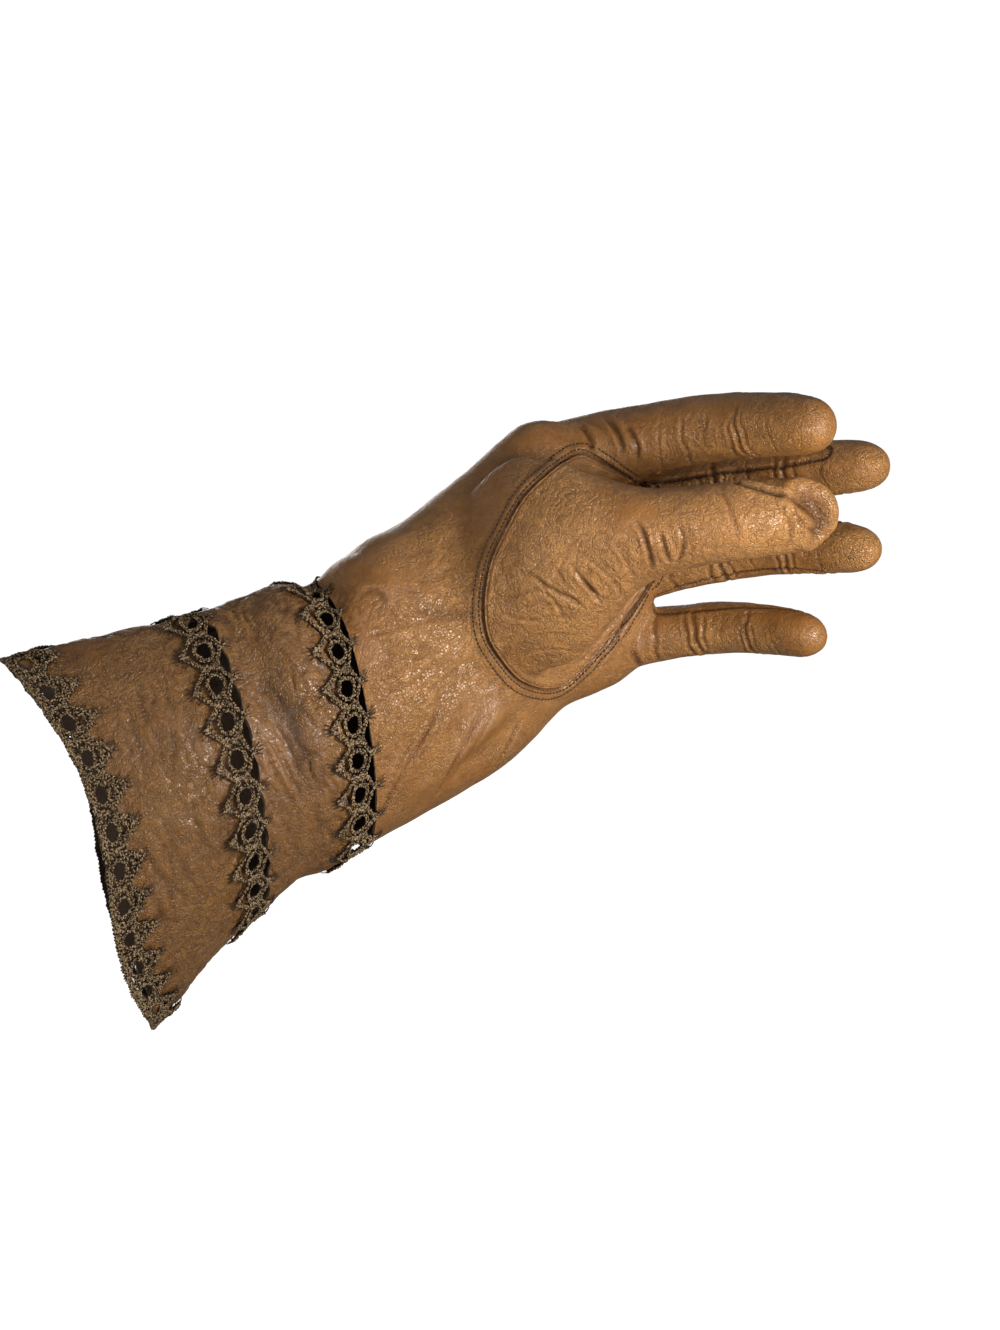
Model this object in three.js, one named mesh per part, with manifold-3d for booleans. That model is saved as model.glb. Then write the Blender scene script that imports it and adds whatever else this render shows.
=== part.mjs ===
// Left-hand dress glove of thin kid leather with a flared gauntlet cuff, held in its worn shape:
// the thumb stands in front of the palm and the fingers bend forwards towards it.
// The cuff has two open crochet insertions and a crochet edge at its mouth.
// Millimetres. +X runs along the forearm to the fingers, +Z to the thumb side, -Y is the palm side.
// The origin is the middle of the hollow at the wrist.

import * as THREE from "three";
import { LoftGeometry } from "three/addons/geometries/LoftGeometry.js";
import * as BufferGeometryUtils from "three/addons/utils/BufferGeometryUtils.js";
import Module from "manifold-3d";

const wasm = await Module();
wasm.setup();

// Driving dimensions
const leatherWall = 1.2;
const seatGap = 0.3;
const wristWidth = 88;
const wristDepth = 50;
const rimWidth = 129;
const rimDepth = 52;
const cuffLength = 108;
const palmLength = 88;
const palmWidth = 88;
const palmDepth = 50;
const foldHeight = 2.4;
const foldBreadth = 7;
const insertionBreadth = 11;
const edgeBreadth = 13;
const laceThickness = 1.4;
const upperInsertionAt = 22;
const middleInsertionAt = 60.5;
const thumbWidth = 25;
const thumbDepth = 23;
const metacarpalLength = 46;
const thumbMiddleLength = 35;
const thumbTipLength = 43;
const fingerLength = 104;
const fingerWidth = 22;
const fingerDepth = 23.5;
const seamOvalWidth = 56;
const seamOvalHeight = 71;
const fourchetteBreadth = 12;

// Counts of facets and of repeats of the lace
const armSides = 32;
const fingerSides = 10;
const thumbSides = 14;
const upperRepeats = 20;
const middleRepeats = 22;
const edgeRepeats = 26;

// Cuff sections, from the mouth to the wrist. along: share of cuffLength. flare: share of what the mouth
// is wider than the wrist. front: share of the depth on the palm side. rise: middle's height, share of
// wristWidth. lean: how far the thumb side stands ahead of the middle, and sweep: how far the back does,
// shares of cuffLength. corner: 2 is an ellipse, less is a lens with sharper sides.
const cuffSections = [
  { along: 1.00, flare: 1.00, front: 0.60, rise: -0.018, lean: 0.030, sweep: 0.050, corner: 1.60 },
  { along: 0.89, flare: 0.84, front: 0.59, rise: -0.012, lean: 0.050, sweep: 0.045, corner: 1.65 },
  { along: 0.72, flare: 0.52, front: 0.58, rise: 0.000, lean: 0.085, sweep: 0.035, corner: 1.75 },
  { along: 0.60, flare: 0.33, front: 0.57, rise: 0.000, lean: 0.100, sweep: 0.025, corner: 1.80 },
  { along: 0.48, flare: 0.20, front: 0.56, rise: 0.004, lean: 0.105, sweep: 0.015, corner: 1.85 },
  { along: 0.37, flare: 0.07, front: 0.55, rise: 0.015, lean: 0.110, sweep: 0.005, corner: 1.90 },
  { along: 0.28, flare: 0.09, front: 0.54, rise: -0.002, lean: 0.110, sweep: 0.000, corner: 1.95 },
  { along: 0.20, flare: -0.04, front: 0.53, rise: -0.030, lean: 0.110, sweep: 0.000, corner: 2.00 },
  { along: 0.10, flare: -0.03, front: 0.53, rise: -0.016, lean: 0.085, sweep: 0.000, corner: 2.05 },
];

// Palm sections, from the wrist to the knuckles. along: share of palmLength. width: share of palmWidth.
// depth: share of palmDepth. front: share of the depth on the palm side. rise: share of palmWidth.
// lean: share of cuffLength. drop: how far the middle lies to the palm side, share of palmDepth.
const palmSections = [
  { along: 0.00, width: 1.00, depth: 1.00, front: 0.52, rise: -0.010, lean: 0.050, corner: 2.10, drop: 0.00 },
  { along: 0.15, width: 1.02, depth: 0.96, front: 0.52, rise: 0.004, lean: 0.015, corner: 2.15, drop: 0.00 },
  { along: 0.30, width: 1.01, depth: 0.90, front: 0.52, rise: 0.008, lean: 0.000, corner: 2.20, drop: 0.00 },
  { along: 0.45, width: 1.00, depth: 0.86, front: 0.52, rise: 0.042, lean: 0.000, corner: 2.25, drop: 0.00 },
  { along: 0.61, width: 0.98, depth: 0.80, front: 0.52, rise: 0.085, lean: 0.000, corner: 2.30, drop: 0.00 },
  { along: 0.77, width: 1.04, depth: 0.72, front: 0.52, rise: 0.101, lean: 0.000, corner: 2.40, drop: 0.00 },
  { along: 0.87, width: 1.07, depth: 0.64, front: 0.52, rise: 0.113, lean: 0.000, corner: 2.50, drop: 0.01 },
  { along: 0.96, width: 1.03, depth: 0.54, front: 0.52, rise: 0.112, lean: 0.000, corner: 2.50, drop: 0.03 },
  { along: 1.04, width: 0.95, depth: 0.40, front: 0.52, rise: 0.105, lean: 0.000, corner: 2.50, drop: 0.07 },
  { along: 1.09, width: 0.80, depth: 0.20, front: 0.52, rise: 0.100, lean: 0.000, corner: 2.50, drop: 0.11 },
];

// Folds of the leather, each a ridge, or a valley where lift is negative, from one place to another.
// from and to: share of cuffLength along the arm, negative towards the mouth. fromTurn and toTurn: degrees
// round from the middle of the palm side, positive to the thumb side. lift: share of foldHeight.
// breadth: share of foldBreadth.
const folds = [
  { from: -0.45, fromTurn: 76, to: -0.40, toTurn: -14, lift: -0.8, breadth: 0.8 },
  { from: -0.36, fromTurn: 70, to: -0.33, toTurn: -18, lift: 0.8, breadth: 1.1 },
  { from: -0.52, fromTurn: 50, to: -0.48, toTurn: -10, lift: 0.5, breadth: 1.0 },
  { from: -0.16, fromTurn: 96, to: -0.14, toTurn: 62, lift: -1.1, breadth: 0.8 },
  { from: -0.05, fromTurn: 92, to: 0.07, toTurn: 50, lift: 0.9, breadth: 0.9 },
  { from: -0.12, fromTurn: -34, to: 0.16, toTurn: -6, lift: 0.8, breadth: 0.8 },
  { from: -0.08, fromTurn: -50, to: 0.33, toTurn: -26, lift: 0.9, breadth: 0.9 },
  { from: -0.08, fromTurn: -24, to: 0.24, toTurn: 4, lift: -0.7, breadth: 0.7 },
  { from: 0.04, fromTurn: -52, to: 0.38, toTurn: -40, lift: -0.8, breadth: 0.8 },
  { from: -0.90, fromTurn: 20, to: -0.62, toTurn: 34, lift: 0.4, breadth: 1.4 },
  { from: -0.10, fromTurn: 150, to: 0.18, toTurn: 190, lift: -0.8, breadth: 1.0 },
  { from: -0.04, fromTurn: 200, to: 0.20, toTurn: 240, lift: 0.7, breadth: 1.0 },
];

// Fingers, from the thumb side. x, y, z: place of the knuckle, shares of palmLength, palmDepth and
// palmWidth. bones: lengths from the knuckle to the tip, shares of fingerLength. bends: degrees forwards
// at each joint. splay: degrees to the thumb side. width and depth: shares of fingerWidth and fingerDepth.
const fingers = [
  { name: "index", x: 1.00, y: 0.06, z: 0.445, bones: [0.44, 0.25, 0.23], bends: [38, 24, 10], splay: -3,
    width: 1.14, depth: 1.06 },
  { name: "middle", x: 1.02, y: 0.08, z: 0.190, bones: [0.47, 0.29, 0.24], bends: [32, 22, 10], splay: -2,
    width: 1.00, depth: 1.00 },
  { name: "ring", x: 0.98, y: 0.06, z: -0.056, bones: [0.44, 0.27, 0.24], bends: [35, 24, 11], splay: -3,
    width: 0.95, depth: 0.96 },
  { name: "little", x: 0.89, y: 0.02, z: -0.285, bones: [0.36, 0.20, 0.21], bends: [38, 24, 11], splay: -5,
    width: 0.89, depth: 0.87 },
];

// Finger stalls, from inside the palm to the tip. along: share of the stall's path. across and thick:
// shares of the finger's width and depth. lift: share of the finger's width.
const fingerSections = [
  { along: 0.00, across: 0.86, thick: 0.84, lift: 0 },
  { along: 0.12, across: 1.00, thick: 1.02, lift: 0 },
  { along: 0.20, across: 0.98, thick: 1.02, lift: 0 },
  { along: 0.38, across: 0.90, thick: 0.94, lift: 0 },
  { along: 0.54, across: 0.87, thick: 0.90, lift: 0 },
  { along: 0.77, across: 0.82, thick: 0.78, lift: 0 },
  { along: 0.88, across: 0.78, thick: 0.72, lift: 0 },
  { along: 0.95, across: 0.66, thick: 0.60, lift: 0 },
  { along: 0.985, across: 0.44, thick: 0.40, lift: 0 },
  { along: 1.00, across: 0.22, thick: 0.20, lift: 0 },
];

// Rings pressed into the index stall where the leather gathers over the knuckle.
// along: share of the stall's path. depth: share of foldHeight.
const creaseReach = 0.022;
const indexCreases = [
  { along: 0.17, depth: 0.45 },
  { along: 0.25, depth: 0.50 },
  { along: 0.33, depth: 0.40 },
];

// Thumb, from the base inside the palm to the tip. along: share of the thumb's path. across and thick:
// shares of thumbWidth and thumbDepth. lift: how far the middle stands off the path to the index side,
// share of thumbWidth.
const thumbSections = [
  { along: 0.00, across: 1.20, thick: 0.90, lift: 0.00 },
  { along: 0.08, across: 1.60, thick: 1.22, lift: -0.04 },
  { along: 0.17, across: 1.92, thick: 1.40, lift: -0.06 },
  { along: 0.26, across: 2.20, thick: 1.52, lift: 0.02 },
  { along: 0.34, across: 2.28, thick: 1.55, lift: 0.12 },
  { along: 0.41, across: 2.04, thick: 1.48, lift: 0.16 },
  { along: 0.48, across: 1.56, thick: 1.32, lift: 0.14 },
  { along: 0.54, across: 1.22, thick: 1.20, lift: 0.10 },
  { along: 0.62, across: 1.04, thick: 1.08, lift: 0.03 },
  { along: 0.72, across: 0.99, thick: 0.98, lift: 0.00 },
  { along: 0.83, across: 0.96, thick: 0.84, lift: 0.00 },
  { along: 0.92, across: 0.90, thick: 0.66, lift: 0.00 },
  { along: 0.97, across: 0.68, thick: 0.46, lift: 0.00 },
  { along: 1.00, across: 0.30, thick: 0.24, lift: 0.00 },
];

// Places in the hand. x, y, z: shares of palmLength, palmDepth and palmWidth.
const thumbStart = { x: 0.24, y: -0.04, z: 0.15 };
const thumbRoot = { x: 0.36, y: -0.16, z: 0.15 };
const ovalCorner = { x: 0.34, y: -0.04, z: -0.27 };

// Bones of the thumb, from the root. length: millimetres. x, y, z: direction.
const thumbBones = [
  { length: metacarpalLength, x: 0.80, y: -0.59, z: 0.11 },
  { length: thumbMiddleLength, x: 0.80, y: -0.60, z: 0.04 },
  { length: thumbTipLength, x: 0.86, y: -0.46, z: -0.21 },
];

// Outline of the thumb's oval in the palm, seen from the palm side. x: share of seamOvalWidth from the
// oval's wrist end. z: share of seamOvalHeight from the oval's lower end.
const seamOval = [
  { x: 1.00, z: 0.95 },
  { x: 0.84, z: 0.98 },
  { x: 0.67, z: 0.99 },
  { x: 0.47, z: 0.96 },
  { x: 0.31, z: 0.88 },
  { x: 0.17, z: 0.77 },
  { x: 0.05, z: 0.62 },
  { x: 0.00, z: 0.46 },
  { x: 0.03, z: 0.31 },
  { x: 0.12, z: 0.16 },
  { x: 0.26, z: 0.05 },
  { x: 0.41, z: 0.00 },
  { x: 0.56, z: 0.03 },
  { x: 0.71, z: 0.16 },
  { x: 0.83, z: 0.39 },
  { x: 0.94, z: 0.68 },
];

// Fourchette, a forked strip between two fingers. along: share of the fingers' paths.
// breadth: share of fourchetteBreadth.
const fourchetteRows = [
  { along: 0.20, breadth: 0.35 },
  { along: 0.30, breadth: 0.80 },
  { along: 0.42, breadth: 1.00 },
  { along: 0.58, breadth: 0.95 },
  { along: 0.74, breadth: 0.75 },
  { along: 0.88, breadth: 0.30 },
];

// One repeat of the crochet lace. u: share of the repeat's length. v: share of half the band's breadth.
const insertionCell = [
  { u: 0.0, v: -0.44 }, { u: 0.5, v: -1.00 }, { u: 1.0, v: -0.44 },
  { u: 1.0, v: 0.44 }, { u: 0.5, v: 1.00 }, { u: 0.0, v: 0.44 },
];
const edgeCell = [
  { u: 0.0, v: -0.94 }, { u: 0.5, v: -1.00 }, { u: 1.0, v: -0.94 },
  { u: 1.0, v: 0.40 }, { u: 0.5, v: 1.00 }, { u: 0.0, v: 0.40 },
];
const laceHole = [
  { u: 0.15, v: 0.00 }, { u: 0.34, v: 0.42 }, { u: 0.66, v: 0.42 },
  { u: 0.85, v: 0.00 }, { u: 0.66, v: -0.42 }, { u: 0.34, v: -0.42 },
];

// Value of a column between the rows of a table, by a smooth cubic through the neighbouring rows
function between(rows, along, column) {
  let i = 0;
  while (i < rows.length - 2 && along > rows[i + 1].along) i += 1;
  const row = (k) => rows[Math.min(Math.max(k, 0), rows.length - 1)];
  const span = row(i + 1).along - row(i).along;
  const t = THREE.MathUtils.clamp((along - row(i).along) / span, 0, 1);
  const slope = (k) => {
    const run = row(k + 1).along - row(k - 1).along;
    return run > 0 ? (row(k + 1)[column] - row(k - 1)[column]) / run * span : 0;
  };
  const [a, b] = [row(i)[column], row(i + 1)[column]];
  const cubic = t * t * (3 - 2 * t);
  return a + (b - a) * cubic + slope(i) * t * (1 - t) ** 2 - slope(i + 1) * t * t * (1 - t);
}

// All sections of the arm in millimetres, from the mouth to the knuckles
const armRows = [
  ...cuffSections.map((row) => ({
    along: -row.along * cuffLength,
    width: wristWidth + (rimWidth - wristWidth) * row.flare,
    depth: wristDepth + (rimDepth - wristDepth) * row.flare,
    front: row.front,
    rise: row.rise * wristWidth,
    lean: row.lean * cuffLength,
    sweep: row.sweep * cuffLength,
    corner: row.corner,
    drop: 0,
  })),
  ...palmSections.map((row) => ({
    along: row.along * palmLength,
    width: row.width * palmWidth,
    depth: row.depth * palmDepth,
    front: row.front,
    rise: row.rise * palmWidth,
    lean: row.lean * cuffLength,
    sweep: 0,
    corner: row.corner,
    drop: row.drop * palmDepth,
  })),
];

// Height of the folds at a place on the arm. endShare: what is left of a fold's height at its ends.
const fullTurn = 360;
const endShare = 0.35;
function foldLift(along, turn) {
  let lift = 0;
  for (const fold of folds) {
    const [x0, x1] = [fold.from * cuffLength, fold.to * cuffLength];
    const perDegree = Math.PI * wristWidth / fullTurn;
    const [run, climb] = [x1 - x0, (fold.toTurn - fold.fromTurn) * perDegree];
    const [dx, dt] = [along - x0, (turn - fold.fromTurn) * perDegree];
    const t = THREE.MathUtils.clamp((dx * run + dt * climb) / (run * run + climb * climb), 0, 1);
    const away = Math.hypot(dx - t * run, dt - t * climb) / (fold.breadth * foldBreadth);
    const fade = Math.min(1, endShare + 4 * (1 - endShare) * t * (1 - t));
    lift += fold.lift * foldHeight * Math.exp(-away * away) * fade;
  }
  return lift;
}

// Share of the half turn, from one side corner to the other, turned into an angle so that the points
// lie evenly along the curve
const evenSteps = 48;
function evenAngle(halfWidth, depth, corner, share) {
  const power = 2 / corner;
  const lengths = [0];
  let [lastZ, lastY] = [-halfWidth, 0];
  for (let i = 1; i <= evenSteps; i += 1) {
    const angle = Math.PI * i / evenSteps;
    const z = -Math.sign(Math.cos(angle)) * Math.abs(Math.cos(angle)) ** power * halfWidth;
    const y = Math.abs(Math.sin(angle)) ** power * depth;
    lengths.push(lengths[i - 1] + Math.hypot(z - lastZ, y - lastY));
    [lastZ, lastY] = [z, y];
  }
  const target = share * lengths[evenSteps];
  let i = 1;
  while (i < evenSteps && lengths[i] < target) i += 1;
  const part = (target - lengths[i - 1]) / (lengths[i] - lengths[i - 1]);
  return Math.PI * (i - 1 + part) / evenSteps;
}

// Point on the arm. turn: 0 is the little-finger side, then the palm side, 0.5 the thumb side, then
// the back. inset: depth below the outer face.
function armPoint(along, turn, inset) {
  const value = (column) => between(armRows, along, column);
  const palmSide = turn < 0.5;
  const share = palmSide ? turn * 2 : (1 - turn) * 2;
  const halfWidth = value("width") / 2;
  const depth = value("depth") * (palmSide ? value("front") : 1 - value("front"));
  const corner = value("corner");
  const angle = evenAngle(halfWidth, depth, corner, share);
  const power = 2 / corner;
  const across = -Math.sign(Math.cos(angle)) * Math.abs(Math.cos(angle)) ** power;
  const out = Math.abs(Math.sin(angle)) ** power;
  const lift = foldLift(along, (turn - 0.25) * fullTurn) - inset;
  const slopeZ = across / halfWidth;
  const slopeY = out / depth;
  const steep = Math.hypot(slopeZ, slopeY);
  const z = across * halfWidth + lift * slopeZ / steep;
  const y = out * depth + lift * slopeY / steep;
  return new THREE.Vector3(
    along + value("lean") * across + (palmSide ? 0 : value("sweep") * out),
    (palmSide ? -y : y) - value("drop"),
    z + value("rise"),
  );
}

// Ring of points round the arm, ordered so that a loft towards the fingers faces outwards
function armRing(along, inset) {
  const ring = [];
  for (let i = 0; i < armSides; i += 1) ring.push(armPoint(along, 1 - i / armSides, inset));
  return ring;
}

// Even steps between two places, both ends included
function steps(from, to, length) {
  const count = Math.max(1, Math.round(Math.abs(to - from) / length));
  return Array.from({ length: count + 1 }, (_, i) => from + (to - from) * i / count);
}

// Positions alone, merged, as a closed solid with its faces pointing out
function solid(geometry) {
  const bare = new THREE.BufferGeometry();
  bare.setAttribute("position", geometry.getAttribute("position").clone());
  if (geometry.index) bare.setIndex(geometry.index.clone());
  const merged = BufferGeometryUtils.mergeVertices(bare, 1e-4);
  const triVerts = [];
  const index = merged.index.array;
  for (let i = 0; i < index.length; i += 3) {
    const [a, b, c] = [index[i], index[i + 1], index[i + 2]];
    if (a !== b && b !== c && c !== a) triVerts.push(a, b, c);
  }
  const make = (order) => new wasm.Manifold(new wasm.Mesh({
    numProp: 3,
    vertProperties: new Float32Array(merged.getAttribute("position").array),
    triVerts: new Uint32Array(order),
  }));
  const body = make(triVerts);
  if (body.volume() > 0) return body;
  for (let i = 0; i < triVerts.length; i += 3) {
    [triVerts[i + 1], triVerts[i + 2]] = [triVerts[i + 2], triVerts[i + 1]];
  }
  return make(triVerts);
}

// A manifold solid back as a geometry
function geometryOf(body) {
  const mesh = body.getMesh();
  const geometry = new THREE.BufferGeometry();
  const positions = new Float32Array(mesh.vertProperties);
  geometry.setAttribute("position", new THREE.BufferAttribute(positions, 3));
  geometry.setIndex(new THREE.BufferAttribute(new Uint32Array(mesh.triVerts), 1));
  const faceted = geometry.toNonIndexed();
  faceted.computeVertexNormals();
  return faceted;
}

// The largest piece of a solid: a cut can leave a crumb beside it
function mainPiece(body) {
  return body.decompose().reduce((a, b) => (a.volume() > b.volume() ? a : b));
}

const ringStep = 10;

// Leather ring of the cuff between two places along the arm, open at both ends
function cuffPanel(from, to) {
  const places = steps(from, to, ringStep);
  const sections = [
    ...places.map((along) => armRing(along, 0)),
    ...places.reverse().map((along) => armRing(along, leatherWall)),
  ];
  sections.push(sections[0]);
  return solid(new LoftGeometry(sections));
}

// Solid of the palm and back from a place on the arm to the knuckles, narrowed by the inset
function palmBody(from, inset) {
  const last = palmSections[palmSections.length - 1].along * palmLength;
  const palmPlaces = palmSections.slice(1).map((row) => row.along * palmLength);
  const places = [...steps(from, 0, ringStep), ...palmPlaces];
  const sections = places.map((along) => armRing(along === last ? along - inset : along, inset));
  return solid(new LoftGeometry(sections, { capStart: true, capEnd: true }));
}

// Solid of a stall along a path. across: the width's direction. creases: rings pressed in round it.
function stall({ joints, rows, width, depth, across, sides, creases = [] }, inset) {
  const path = new THREE.CatmullRomCurve3(joints, false, "centripetal");
  const reach = 1 - Math.max(inset, 0) / path.getLength();
  const places = [
    ...rows.map((row) => row.along),
    ...creases.flatMap((ring) => [-creaseReach, 0, creaseReach].map((step) => ring.along + step)),
  ].sort((a, b) => a - b);
  const sections = places.map((along) => {
    const centre = path.getPointAt(along * reach);
    const ahead = path.getTangentAt(along * reach);
    const side = across.clone().addScaledVector(ahead, -across.dot(ahead)).normalize();
    const out = new THREE.Vector3().crossVectors(ahead, side);
    const pressed = creases.reduce((sum, ring) =>
      sum + ring.depth * foldHeight * Math.exp(-(((along - ring.along) / creaseReach) ** 2) * 2), inset);
    const halfWidth = between(rows, along, "across") * width / 2 - pressed;
    const halfDepth = between(rows, along, "thick") * depth / 2 - pressed;
    centre.addScaledVector(side, between(rows, along, "lift") * width);
    return Array.from({ length: sides }, (_, i) => {
      const angle = 2 * Math.PI * i / sides;
      return centre.clone()
        .addScaledVector(side, Math.cos(angle) * halfWidth)
        .addScaledVector(out, Math.sin(angle) * halfDepth);
    });
  });
  return solid(new LoftGeometry(sections, { capStart: true, capEnd: true }));
}

// A place in the hand in millimetres
function inHand({ x, y, z }) {
  return new THREE.Vector3(x * palmLength, y * palmDepth, z * palmWidth);
}

// Joints of a finger's path: a start inside the palm, the knuckle, two joints and the tip
const rootShare = 0.6;
function fingerJoints(finger) {
  const knuckle = inHand(finger);
  const start = knuckle.clone();
  start.x -= rootShare * finger.depth * fingerDepth;
  const joints = [start, knuckle];
  const splay = THREE.MathUtils.degToRad(finger.splay);
  let bend = 0;
  finger.bones.forEach((bone, i) => {
    bend += THREE.MathUtils.degToRad(finger.bends[i]);
    const ahead = new THREE.Vector3(
      Math.cos(bend) * Math.cos(splay), -Math.sin(bend) * Math.cos(splay), Math.sin(splay));
    joints.push(joints[joints.length - 1].clone().addScaledVector(ahead, bone * fingerLength));
  });
  return joints;
}

function fingerStall(finger, inset) {
  return stall({
    joints: fingerJoints(finger),
    rows: fingerSections,
    width: finger.width * fingerWidth,
    depth: finger.depth * fingerDepth,
    across: new THREE.Vector3(0, 0, 1),
    sides: fingerSides,
    creases: finger.name === "index" ? indexCreases : [],
  }, inset);
}

// Joints of the thumb's path, each bone laid off from the one before
const thumbJoints = [inHand(thumbStart), inHand(thumbRoot)];
for (const bone of thumbBones) {
  const ahead = new THREE.Vector3(bone.x, bone.y, bone.z).normalize();
  thumbJoints.push(thumbJoints[thumbJoints.length - 1].clone().addScaledVector(ahead, bone.length));
}

const thumbForm = {
  joints: thumbJoints,
  rows: thumbSections,
  width: thumbWidth,
  depth: thumbDepth,
  across: new THREE.Vector3(0.05, 0.28, 0.96),
  sides: thumbSides,
};

// The glove from the upper insertion to the fingertips: an outer body less an inner one
const handStart = -upperInsertionAt + insertionBreadth / 2 + seatGap;
function handBody(from, inset) {
  let body = palmBody(from, inset).add(stall(thumbForm, inset));
  for (const finger of fingers) body = body.add(fingerStall(finger, inset));
  return body;
}
const handShell = handBody(handStart, 0).subtract(handBody(handStart - ringStep, leatherWall));

// The part of space that belongs to the thumb: the oval in front of the palm, and the stall beyond it
const ovalShare = 0.3;
const pathStep = 0.1;
const tipMargin = thumbWidth / 4;
function thumbSpace(clearance) {
  const corner = inHand(ovalCorner);
  const points = seamOval.map((row) => new THREE.Vector2(
    corner.x + row.x * seamOvalWidth, corner.z + row.z * seamOvalHeight));
  const middle = points.reduce((sum, p) => sum.add(p), new THREE.Vector2()).divideScalar(points.length);
  const grown = points.map((p) => p.clone().add(p.clone().sub(middle).setLength(clearance)));
  const smooth = new THREE.SplineCurve([...grown, grown[0]]).getPoints(grown.length * 2);
  const outline = new THREE.Shape(smooth.slice(1));
  const prism = new THREE.ExtrudeGeometry(outline, { depth: 2 * palmDepth, bevelEnabled: false, steps: 1 });
  prism.rotateX(Math.PI / 2);
  prism.translate(0, corner.y, 0);
  const beyond = thumbSections.filter((row) => row.along > ovalShare);
  const first = beyond[0].along;
  const path = new THREE.CatmullRomCurve3(thumbJoints, false, "centripetal");
  const joints = steps(first, 1, pathStep).map((along) => path.getPointAt(along));
  const tip = joints[joints.length - 1];
  joints.push(tip.clone().addScaledVector(path.getTangentAt(1), tipMargin));
  const length = path.getLength();
  const whole = length * (1 - first) + tipMargin;
  const blunt = beyond[beyond.length - 3];
  const rows = beyond.map((row) => ({ ...row, along: (row.along - first) * length / whole }));
  for (const row of rows.slice(-2)) Object.assign(row, { across: blunt.across, thick: blunt.thick });
  rows[rows.length - 1].along = 1;
  return solid(prism).add(stall({ ...thumbForm, joints, rows }, -leatherWall / 2 - clearance));
}
const thumb = mainPiece(handShell.intersect(thumbSpace(0)));

// The part of space between two fingers that belongs to their fourchette, a forked strip
function fourchetteSpace(first, second, clearance) {
  const paths = [first, second].map((finger) =>
    new THREE.CatmullRomCurve3(fingerJoints(finger), false, "centripetal"));
  const sections = fourchetteRows.map((row, i) => {
    const end = i === 0 ? -1 : Number(i === fourchetteRows.length - 1);
    const ends = paths.map((path) => {
      const centre = path.getPointAt(row.along);
      const ahead = path.getTangentAt(row.along);
      centre.addScaledVector(ahead, end * clearance);
      const out = new THREE.Vector3().crossVectors(ahead, new THREE.Vector3(0, 0, 1)).normalize();
      return { centre, out: out.multiplyScalar(row.breadth * fourchetteBreadth / 2 + clearance) };
    });
    return [
      ends[1].centre.clone().add(ends[1].out), ends[1].centre.clone().sub(ends[1].out),
      ends[0].centre.clone().sub(ends[0].out), ends[0].centre.clone().add(ends[0].out),
    ];
  });
  return solid(new LoftGeometry(sections, { capStart: true, capEnd: true }));
}

let hand = handShell.subtract(thumbSpace(seatGap));
const fourchettes = [];
for (let i = 0; i < fingers.length - 1; i += 1) {
  const [first, second] = [fingers[i], fingers[i + 1]];
  const strip = handShell.intersect(fourchetteSpace(first, second, 0));
  fourchettes.push({ name: `fourchette_${first.name}_${second.name}`, body: mainPiece(strip) });
  hand = hand.subtract(fourchetteSpace(first, second, seatGap));
}
hand = mainPiece(hand);

// Crochet lace round the arm: one repeat's outline and hole, laid side by side and closed on itself
function laceBand(middle, breadth, repeats, outline) {
  const flat = (row) => new THREE.Vector2(row.u, row.v);
  const triangles = THREE.ShapeUtils.triangulateShape(outline.map(flat), [laceHole.map(flat)]);
  const rows = [...outline, ...laceHole];
  const positions = [];
  const corner = (repeat, k, inset) => {
    const turn = ((repeat + rows[k].u) / repeats) % 1;
    const point = armPoint(middle + rows[k].v * breadth / 2, turn, inset);
    positions.push(point.x, point.y, point.z);
  };
  const outer = (leatherWall - laceThickness) / 2;
  const inner = outer + laceThickness;
  const wall = (repeat, a, b) => {
    for (const [k, inset] of [[a, outer], [b, outer], [b, inner], [a, outer], [b, inner], [a, inner]]) {
      corner(repeat, k, inset);
    }
  };
  for (let repeat = 0; repeat < repeats; repeat += 1) {
    for (const [a, b, c] of triangles) {
      for (const k of [a, c, b]) corner(repeat, k, outer);
      for (const k of [a, b, c]) corner(repeat, k, inner);
    }
    outline.forEach((row, k) => {
      const next = (k + 1) % outline.length;
      const joinsNeighbour = row.u === outline[next].u && row.u !== 0.5;
      if (!joinsNeighbour) wall(repeat, k, next);
    });
    laceHole.forEach((row, k) => {
      wall(repeat, outline.length + k, outline.length + (k + 1) % laceHole.length);
    });
  }
  const geometry = new THREE.BufferGeometry();
  geometry.setAttribute("position", new THREE.Float32BufferAttribute(positions, 3));
  return solid(geometry);
}

const leather = new THREE.MeshStandardMaterial({ color: 0x9c6b3f, roughness: 0.5, metalness: 0 });
const cuffLeather = new THREE.MeshStandardMaterial({ color: 0x7d5a37, roughness: 0.6, metalness: 0 });
const thread = new THREE.MeshStandardMaterial({ color: 0xa98a63, roughness: 0.9, metalness: 0 });

const group = new THREE.Group();
function place(name, body, material) {
  const mesh = new THREE.Mesh(geometryOf(body), material);
  mesh.name = name;
  group.add(mesh);
}

const halfInsertion = insertionBreadth / 2 + seatGap;
const halfEdge = edgeBreadth / 2 + seatGap;
const edgeMiddle = -cuffLength + edgeBreadth / 2;
place("hand_trank", hand, leather);
place("thumb", thumb, leather);
for (const strip of fourchettes) place(strip.name, strip.body, leather);
const [upper, middle] = [-upperInsertionAt, -middleInsertionAt];
place("lace_insertion_upper", laceBand(upper, insertionBreadth, upperRepeats, insertionCell), thread);
place("cuff_panel_inner", cuffPanel(middle + halfInsertion, upper - halfInsertion), cuffLeather);
place("lace_insertion_middle", laceBand(middle, insertionBreadth, middleRepeats, insertionCell), thread);
place("cuff_panel_outer", cuffPanel(edgeMiddle + halfEdge, middle - halfInsertion), cuffLeather);
place("lace_edge", laceBand(edgeMiddle, edgeBreadth, edgeRepeats, edgeCell), thread);

export default group;
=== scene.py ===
import math

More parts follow.
